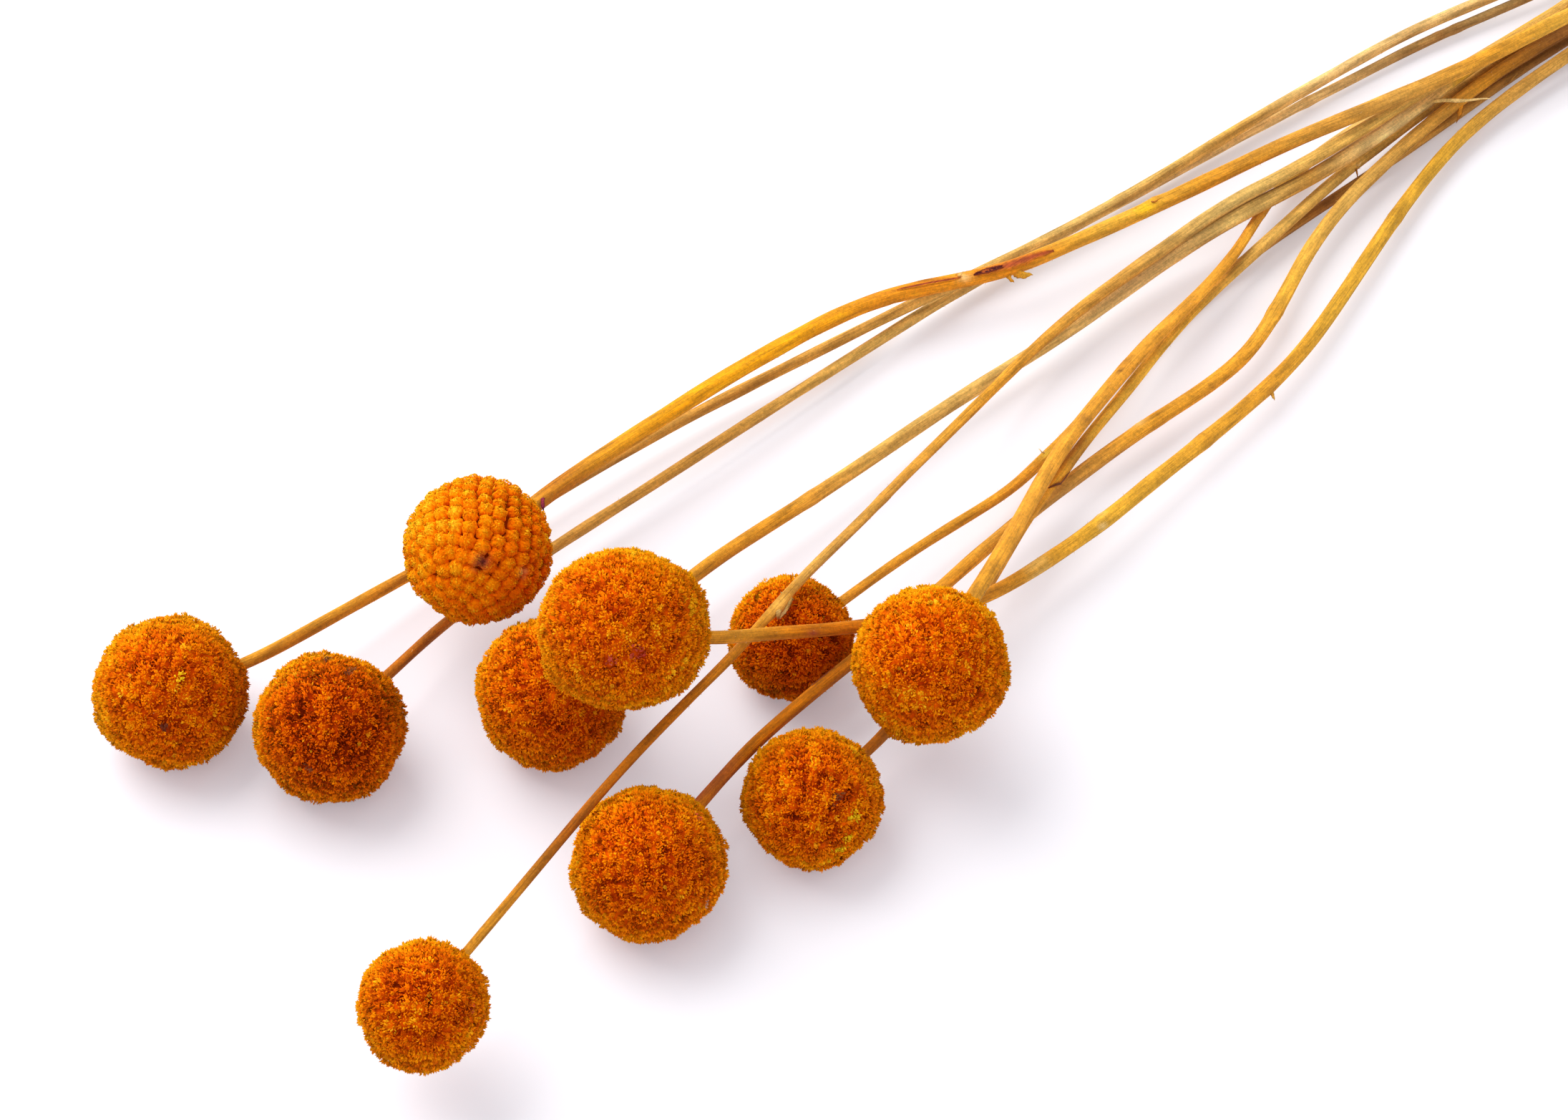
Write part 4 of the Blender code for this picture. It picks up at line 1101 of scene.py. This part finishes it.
def tuft_strokes(centre, out, height, axes, per_floret, tone, random):
    """Points and tones of the dried strokes, and the floret that each belongs to. The strokes of a
    floret splay round its axis, a seventh of a turn apart, and lean out by 5 to 58 degrees."""
    copies = np.repeat(np.arange(len(out)), per_floret)
    turn = random.uniform(0, FULL_TURN, len(out))[copies] + random.normal(0, 0.3, len(copies))
    order = np.arange(len(copies)) - np.repeat(np.cumsum(per_floret) - per_floret, per_floret)
    turn = turn + FULL_TURN * order / STROKES_PER_TUFT
    splay = heading(turn, *side_pair(axes[copies]))
    lean = np.radians(random.uniform(*STROKE_LEANS, len(copies)))[:, None]
    stroke_axes = unit(axes[copies] * np.cos(lean) + splay * np.sin(lean)
                       + 0.12 * random.normal(size=splay.shape))
    lengths = random.uniform(*STROKE_LENGTHS, len(copies))
    feet = (centre + out[copies] * (height[copies] - STROKE_ROOT * lengths)[:, None] + splay * 0.14
            + 0.05 * random.normal(size=splay.shape))
    clear = feet[:, 2] > 0.25
    copies, stroke_axes, lengths, feet, splay = (
        values[clear] for values in (copies, stroke_axes, lengths, feet, splay))
    across = unit(np.cross(stroke_axes, splay) + 0.35 * random.normal(size=splay.shape))
    across = made_square(across, stroke_axes)
    strokes = plant(LOBE, feet, stroke_axes, across, random.uniform(*STROKE_WIDTHS, len(copies)),
                    fit_above_table(feet, stroke_axes, lengths))
    return strokes, (tone[copies] + random.normal(0, 0.035, len(copies)))[:, None] + STROKE_STEPS, copies


print("star has", len(STAR_FACES), "triangles")

# %% [markdown]
# Stars and tufts planted over a core painted dark, as the shade deep between them, give bright tips,
# dark gaps and a furry rim from every side. The velvet that they make has its own height and tone in
# every direction: slow lumps, domes of knobs, patches, and painted shade in the seams between knobs
# and in pits. Normals softened towards the ball's own blur the hard facets.

# %% Open heads
KNOB_RISE = 0.5
KNOB_LEAN = 0.42
# Painted shade: how much darker the seams between knobs, florets sunk in pits and the core under the florets
# are made.
SEAM_PAINTED_SHADE = 0.28
PIT_SHARE = 0.05
PIT_DEPTH = 0.28
PIT_PAINTED_SHADE = 0.12
CORE_DEPTH = 0.55
CORE_PAINTED_SHADE = 0.29
SOFTNESS = 0.68
PALE_SHARE = 0.02
DARK_SHARE = 0.015
SPOT_SHARE = 0.85


def floret_colours(tones, place, radius, spots, random):
    """Colours for the tones of each floret's points. One floret in fifty is paler, a few are
    darker, and most of those near a spot take its colour."""
    tint = on_ladder(tones)
    chance = random.random(len(tint))
    pale = chance < PALE_SHARE
    tint[pale] = tint[pale] * 0.6 + PALETTE["straw"] * 0.4
    tint[chance > 1 - DARK_SHARE] *= 0.6
    for spot, reach, stain in spots:
        near = np.linalg.norm(place - spot * radius, axis=1) < reach
        hit = near & (random.random(len(tint)) < SPOT_SHARE)
        tint[hit] = tint[hit] * 0.2 + PALETTE[stain] * 0.8
    return tint.reshape(-1, 3)


def open_head(number):
    """A core painted dark as the shade under the florets, florets at every lattice place, each leaning
    out from its knob's middle, and now and then one that has sunk into a pit and is painted darker as
    its shade."""
    base_tone, marks, patch, stretch = HEAD_MOODS[number]
    centre, radius, crown = BALLS[number]
    seed = 700 + int(number)
    random = np.random.default_rng(seed)
    out = spiral_lattice(lattice_count(radius, FLORET_SPACING), crown)
    out = unit(out + 0.012 * random.normal(size=out.shape))
    out = out[clear_of_stalk(number, centre, radius * 0.93, out, 1.5)]
    place = out * radius
    knob = knob_lattice(radius, crown, random)
    offset = knob_place(out, knob, radius)[0]
    knob_tone = random.normal(0, 0.035, len(knob))

    def skin_height(way):
        """Radius of the velvet in a direction: slow lumps, an oval and the domes of the knobs."""
        lump = 0.018 * wander(way * radius, 8.0, seed + 2) + 0.008 * wander(way * radius, 3.2, seed + 1)
        lump = lump + stretch * (2 * (way @ crown) ** 2 - 1)
        return radius * (1 + lump) + KNOB_RISE * (knob_place(way, knob, radius)[1] - 0.6)

    def tone_at(way):
        """Tone of the velvet in a direction: broad and middling patches, and painted shade that darkens the
        seams between knobs.
        """
        _, near, nearest = knob_place(way, knob, radius)
        return (base_tone + patch * wander(way * radius, 4.5, seed + 3)
                + 0.05 * wander(way * radius, 1.8, seed + 4) + knob_tone[nearest]
                + SEAM_PAINTED_SHADE * (near - 0.6))

    pit = random.random(len(out)) < PIT_SHARE
    # A floret sunk into a pit is painted darker, as its shade.
    tone = tone_at(out) + random.normal(0, 0.04, len(out)) - PIT_PAINTED_SHADE * pit
    height = skin_height(out) + random.normal(0, 0.09, len(out)) - PIT_DEPTH * pit
    axes = unit(out + KNOB_LEAN * offset + 0.17 * random.normal(size=out.shape))
    lengths = random.uniform(*FLORET_LENGTHS, len(out))
    widths = random.uniform(*FLORET_WIDTHS, len(out))
    roots = centre + out * height[:, None] - axes * (0.9 * lengths)[:, None]
    starry = random.random(len(out)) < STAR_SHARE
    chosen = np.flatnonzero(starry & (roots[:, 2] > 0.2))
    lengths = fit_above_table(roots, axes, lengths)
    stars, star_tones = star_florets(*(v[chosen] for v in (roots, axes, widths, lengths, tone)), random)
    strokes, stroke_tones, owners = tuft_strokes(
        centre, out, height, axes, np.where(starry, STROKES_PER_STAR, STROKES_PER_TUFT), tone, random)

    spots = [(mark_on_ball(centre, radius, *mark[:2]), *mark[2:]) for mark in marks]
    star_tint = floret_colours(star_tones, place[chosen], radius, spots, random)
    stroke_tint = floret_colours(stroke_tones, place[owners], radius, spots, random)
    core, core_faces = core_ball(centre, lambda way: skin_height(way) - CORE_DEPTH)
    core_out = unit(core - centre)
    points, faces, tint, own = joined([
        # The core is painted dark, as the shade under the florets.
        (core, core_faces, on_ladder(tone_at(core_out) - CORE_PAINTED_SHADE), core_out),
        planted(STAR_FACES, STAR_POINTS, stars, star_tint),
        planted(LOBE_FACES, len(LOBE), strokes, stroke_tint)], LOWEST)
    soft = unit((1 - SOFTNESS) * own + SOFTNESS * unit(points - centre))
    return make_piece("open_head_" + number, "head_" + number, points, faces, OPEN_FINISH, tint,
                      soft_normals=soft)


for number in HEAD_MOODS:
    open_head(number)

# %% [markdown]
# One head hasn't opened. Its florets are still tight buds, about seven to a knob, and they press
# the knob into a ribbed dome, a rounded square more than a circle. Painted shade darkens the seams
# between the knobs and the rib valleys, more on the side towards the stalk, and the knobs that face
# the window are painted lighter. Dry fibres run up every dome from its seam to its top.

# %% The head in bud
RIBS_PER_KNOB = 7
FIBRES_PER_KNOB = 66
KNOB_DEPTH = 2.3
FIBRE_STEPS = np.array([-0.14, 0.0, 0.0, 0.12])
FIBRE_LENGTHS = (0.35, 0.75)
FIBRE_WIDTHS = (0.13, 0.30)
BUD_CORE = 0.92
BUD_CORE_PAINTED_SHADE = 0.06
# Across and down in the picture, reach in millimetres, colour and its share.
BUD_MARKS = [(674, 784, 0.75, "aubergine", 0.9), (666, 792, 0.5, "berry", 0.6),
             (730, 800, 0.45, "pale", 0.8)]


def dome_shapes(count, random):
    """A peg for every knob, and its ribs. A dome's width at angle t is its size times
    1 + rib * cos(7 t) + square * cos(4 t), with a little waver."""
    turn = np.arctan2(KNOB[:, 1], KNOB[:, 0])
    ribs = np.cos(RIBS_PER_KNOB * turn[None, :] + random.uniform(0, 6, (count, 1)))
    square = np.cos(4 * turn[None, :] + random.uniform(0, 6, (count, 1)))
    wide = 1 + 0.11 * ribs + 0.07 * square + 0.06 * random.normal(size=ribs.shape)
    return np.stack([KNOB[None, :, 0] * wide, KNOB[None, :, 1] * wide,
                     KNOB[None, :, 2] * (1 + 0.022 * ribs * (KNOB[None, :, 2] > 0.5))], -1), ribs


def dome_fibres(centre, knob, top, size, axes, random):
    """Points of the fibres, the knob that each lies on and how far from its top, from 0 to 1. The
    further out a fibre starts, the more it stands up along the dome's side."""
    tuft = np.repeat(np.arange(len(knob)), FIBRES_PER_KNOB)
    spin = random.uniform(0, FULL_TURN, len(tuft))
    far = np.sqrt(random.uniform(0.0, 1.0, len(tuft)))
    splay = heading(spin, *side_pair(axes[tuft]))
    lean = 0.35 + 0.5 * random.random(len(tuft))
    fibre_axes = unit(axes[tuft] * (0.35 + far**2)[:, None] - splay * (lean * (1.1 - 0.6 * far))[:, None]
                      + 0.16 * random.normal(size=splay.shape))
    level = top[tuft] + 0.21 - 0.66 * far**3 + random.normal(0, 0.05, len(tuft))
    lengths = random.uniform(*FIBRE_LENGTHS, len(tuft))
    feet = (centre + knob[tuft] * level[:, None] + splay * (0.97 * far * size[tuft])[:, None]
            - fibre_axes * (0.45 * lengths)[:, None])
    clear = feet[:, 2] > 0.5
    tuft, feet, fibre_axes, lengths, far = (v[clear] for v in (tuft, feet, fibre_axes, lengths, far))
    fibres = plant(LOBE, feet, fibre_axes, square_to(fibre_axes, random),
                   random.uniform(*FIBRE_WIDTHS, len(tuft)), lengths)
    return fibres, tuft, far


def bud_head(number):
    """Ribbed domes on the spiral lattice over a core painted dark as the shade under them, with fibres on
    every dome.
    """
    centre, radius, crown = BALLS[number]
    seed = 900 + int(number)
    random = np.random.default_rng(seed)
    knob = knob_lattice(radius, crown, random)
    knob = knob[clear_of_stalk(number, centre, radius * 0.93, knob, 1.7)]
    knob = knob[centre[2] + radius * 0.8 * knob[:, 2] > 0.3]
    apart = np.clip(0.5 - 0.62 * (knob @ crown), 0.0, 1.0)
    size = 0.5 * KNOB_PITCH * (1.16 - 0.20 * apart) * random.uniform(0.95, 1.06, len(knob))
    rise = radius * 0.010 * wander(knob * radius, 6.0, seed + 1) + random.normal(0, 0.07, len(knob))
    axes = unit(knob + 0.05 * random.normal(size=knob.shape))
    shapes, ribs = dome_shapes(len(knob), random)
    top = radius + rise + 0.10
    domes = plant(shapes, centre + knob * top[:, None] - axes * KNOB_DEPTH, axes, square_to(axes, random),
                  size, np.full(len(knob), KNOB_DEPTH))
    # Painted light and shade: knobs that face the window are lighter, and those towards the stalk darker.
    tone = (0.70 + 0.045 * wander(knob * radius, 5.0, seed + 3) + random.normal(0, 0.035, len(knob))
            - 0.07 * apart + 0.11 * np.clip(knob @ WINDOW_FROM, 0, 1))
    # Painted shade darkens each dome towards its foot in the seam, more towards the stalk, and the rib term
    # darkens the rib valleys and lifts the crests.
    steps = np.interp(KNOB[:, 2], [0.0, 0.5, 0.62, 0.86, 1.0], [-0.55, -0.46, -0.30, -0.08, 0.0])
    tint = on_ladder(tone[:, None] + steps[None, :] * (0.42 + 1.35 * apart)[:, None] + 0.06 * ribs)

    fibres, tuft, far = dome_fibres(centre, knob, top, size, axes, random)
    # Fibres near a dome's top are lighter, and those out by its seam are painted darker, as the seam's
    # shade; each fibre's foot is painted darker too.
    fibre_tones = (tone[tuft] + random.normal(0.03, 0.09, len(tuft)) + 0.07 * (far < 0.5)
                   - (0.16 + 0.2 * apart[tuft]) * far**4)
    fibre_tint = on_ladder(fibre_tones[:, None] + FIBRE_STEPS)
    for across, down, reach, stain, share in BUD_MARKS:
        spot = mark_on_ball(centre, radius, across, down)
        for colours, at in ((tint, domes), (fibre_tint, fibres)):
            near = np.linalg.norm(at.reshape(*colours.shape) - centre - spot * radius, axis=2)
            colours[:] = blend_colours(colours, PALETTE[stain], share * bell(near, reach))

    core, core_faces = core_ball(centre, lambda way: np.full(len(way), radius * BUD_CORE), 30, 48)
    dome_middles = (centre + knob[tuft] * (radius - 0.7))[:, None, :]
    dome_out = unit(fibres.reshape(-1, len(LOBE), 3) - dome_middles).reshape(-1, 3)
    fibre_soft = unit(0.45 * own_normals(LOBE_FACES, fibres, len(LOBE)) + 0.55 * dome_out)
    points, faces, tint, soft = joined([
        # The core is painted dark, as the shade under the knobs.
        (core, core_faces, on_ladder(np.full(len(core), BUD_CORE_PAINTED_SHADE)), unit(core - centre)),
        planted(KNOB_FACES, len(KNOB), domes, tint),
        planted(LOBE_FACES, len(LOBE), fibres, fibre_tint, fibre_soft)], LOWEST)
    return make_piece("bud_head_" + number, "head_" + number, points, faces, BUD_FINISH, tint,
                      soft_normals=soft)


bud_head("03")

# %% [markdown]
# The tie is jute twine, wound four times round the stalks and knotted on top. The twine is two
# plies twisted together, so each ply is a thin tube whose centre runs in a helix round the twine's
# own line. That line is the tight outline of the stalks under it, a twine's radius further out.

# %% The twine's lines
TIE_X = 116.15
TWINE_RADIUS = 0.8
TIE_GAP = 0.3
TWINE_TURNS = 4
STEEPEST = 0.9


def tight_outline(sections, gap, count=720):
    """Closed outline round circles, in even steps: at each outward angle the furthest circle's
    own arc point, joined by straight runs where the furthest circle changes."""
    normal = heading(math.pi / 2 + ring_turns(count), np.array([1.0, 0]), np.array([0, 1.0]))
    furthest = np.argmax(normal @ sections[:, :2].T + sections[:, 2], axis=1)
    points = sections[furthest, :2] + normal * (sections[furthest, 2:] + gap)
    return even_line(np.concatenate([points, points[:1]]), count + 1)


def wound_line(sections):
    """Four turns side by side, each moving over by one twine as it passes the top."""
    outline, run = tight_outline(sections, TIE_GAP + TWINE_RADIUS)
    t = np.linspace(0, TWINE_TURNS, int(TWINE_TURNS * run[-1] / 0.5))
    inside = t % 1.0
    y, z = read_off(inside * (len(outline) - 1), np.arange(len(outline)), outline).T
    step = np.floor(t) + np.clip((inside - 0.93) / 0.07, 0, 1)
    x = TIE_X + 2 * TWINE_RADIUS * (np.minimum(step, TWINE_TURNS - 1) - (TWINE_TURNS - 1) / 2)
    return np.stack([blur(x, 2.0), blur(y, 1.0), blur(z, 1.0)], -1)


def knot_line(centre):
    """A trefoil: (sin t + 2 sin 2t, cos t - 2 cos 2t, -sin 3t), pressed into the knot's size."""
    t = np.linspace(0, FULL_TURN, 60)
    return centre + np.stack([(np.sin(t) + 2 * np.sin(2 * t)) * 0.62,
                              (np.cos(t) - 2 * np.cos(2 * t)) * 0.42, -0.62 * np.sin(3 * t)], -1)


def tail_line(start, way, length):
    """A free end: it leaves the knot, rests on what lies under it and slopes off by 0.9 at most,
    which is the highest of all supports, each less 0.9 times its distance."""
    t = np.linspace(0, length, int(length / 0.4))
    curl = np.stack([0 * t, 0.03 * t**2], -1) * np.sign(way[1])
    plan = start[:2] + t[:, None] * np.array(way)[None, :] + curl
    rest = np.full(len(t), TWINE_RADIUS + 0.05)
    for number in NUMBERS:
        line = LINES[number][0]
        reach = stalk_radius(number, TIE_X) + TWINE_RADIUS + 0.1
        flat = ((plan[:, None, :] - line[None, :, :2]) ** 2).sum(-1)
        rise = np.where(flat < reach**2, line[None, :, 2] + np.sqrt(np.maximum(reach**2 - flat, 0)), 0)
        rest = np.maximum(rest, rise.max(axis=1))
    over_band = np.abs(plan[:, 0] - TIE_X) < 4.2
    height = np.maximum(rest, np.where(over_band, start[2] - 0.1 * t, 0))
    height = (height[None, :] - STEEPEST * np.abs(t[:, None] - t[None, :])).max(axis=1)
    line = np.column_stack([plan, blur(height, 1.5)])
    return even_line(line, int(along_line(line)[-1] / 0.35))[0]


at_tie = {n: LINES[n][0][np.argmin(np.abs(LINES[n][0][:, 0] - TIE_X))] for n in NUMBERS}
sections = np.array([[at_tie[n][1], at_tie[n][2], stalk_radius(n, TIE_X)] for n in NUMBERS])
top = tight_outline(sections, TIE_GAP)[0][0]
knot_middle = np.array([TIE_X, top[0], top[1] + 2 * TWINE_RADIUS + 0.3])
TWINE_LINES = [wound_line(sections), knot_line(knot_middle), tail_line(knot_middle, (0.93, 0.36), 13.0),
               tail_line(knot_middle, (0.80, -0.60), 10.0)]
print("turns, knot and ends in mm:", [round(float(along_line(line)[-1]), 1) for line in TWINE_LINES])

# %% [markdown]
# Along each of those lines run the two plies, and jute is hairy, so thin fibres stand off the twine
# everywhere and fray at the two free ends.

# %% Twine
PLY_RADIUS = 0.44
PLY_OFFSET = 0.36
PLY_PITCH = 3.4
PLY_SIDES = 8
JUTE_WIDTHS = (0.07, 0.13)
FRAYED_POINTS = 40


def ply_tubes(line, seed):
    """Two closed tubes twisted round a line, as one part: ply k's centre is the line plus
    PLY_OFFSET at the angle 2 pi s / PLY_PITCH + pi k, and its ring shrinks at both ends."""
    s = along_line(line)
    along = tangent(line)
    across = unit(np.cross(along, [1.0, 0.02, 0.05]))
    above = np.cross(along, across)
    angle = ring_turns(PLY_SIDES)
    ring = heading(angle[None, :], across[:, None, :], above[:, None, :])
    plies = []
    for k in range(2):
        turn = FULL_TURN * s / PLY_PITCH + math.pi * k
        middle = line + PLY_OFFSET * heading(turn, across, above)
        thick = PLY_RADIUS * (1 + 0.08 * wander(s[:, None], 1.3, seed + k))
        thick = thick * np.clip(np.minimum(s, s[-1] - s) / 0.5 + 0.25, 0, 1)
        tube = middle[:, None, :] + thick[:, None, None] * ring
        untwisted = angle - turn[:, None]
        place = np.stack([np.broadcast_to(s[:, None], tube.shape[:2]), PLY_RADIUS * np.cos(untwisted),
                          PLY_RADIUS * np.sin(untwisted) + 3 * k], -1)
        shade = 0.5 + 0.5 * wander(place * [0.4, 1.6, 1.6], 1.0, seed + 5 + k)
        colour = blend_colours(PALETTE["jute"], PALETTE["jute_dark"], 0.5 * shade)
        plies.append((capped(tube, middle[0], middle[-1]), tube_faces(len(line), PLY_SIDES),
                      capped(colour, colour[0, 0], colour[-1, 0]),
                      capped(place, place[0, 0], place[-1, 0])))
    return joined(plies)


def loose_fibres(points, seed, count, reach):
    """Thin fibres that stand off the twine from random places, as a part."""
    random = np.random.default_rng(seed)
    feet = points[random.integers(0, len(points), count)]
    axes = unit(random.normal(size=feet.shape) + [0, 0, 0.5])
    fibres = plant(HAIR, feet - 0.1 * axes, axes, square_to(axes, random),
                   random.uniform(*JUTE_WIDTHS, count), random.uniform(0.3, 1.0, count) * reach)
    pale = blend_colours(PALETTE["jute"], PALETTE["jute_pale"], random.uniform(0, 1, count))
    return planted(HAIR_FACES, len(HAIR), fibres, np.repeat(pale, len(HAIR), axis=0), fibres)


twine_parts = [ply_tubes(line, seed=1100 + 10 * k) for k, line in enumerate(TWINE_LINES)]
fuzz = loose_fibres(np.concatenate([part[0] for part in twine_parts]), seed=1140, count=420, reach=1.1)
frayed = [loose_fibres(part[0][-FRAYED_POINTS:], seed=1150 + k, count=26, reach=2.6)
          for k, part in enumerate(twine_parts[2:])]
points, faces, tint, grain = joined([*twine_parts, fuzz, *frayed], LOWEST)
make_piece("twine_tie", "tie", points, faces, TWINE_FINISH, tint, grain)
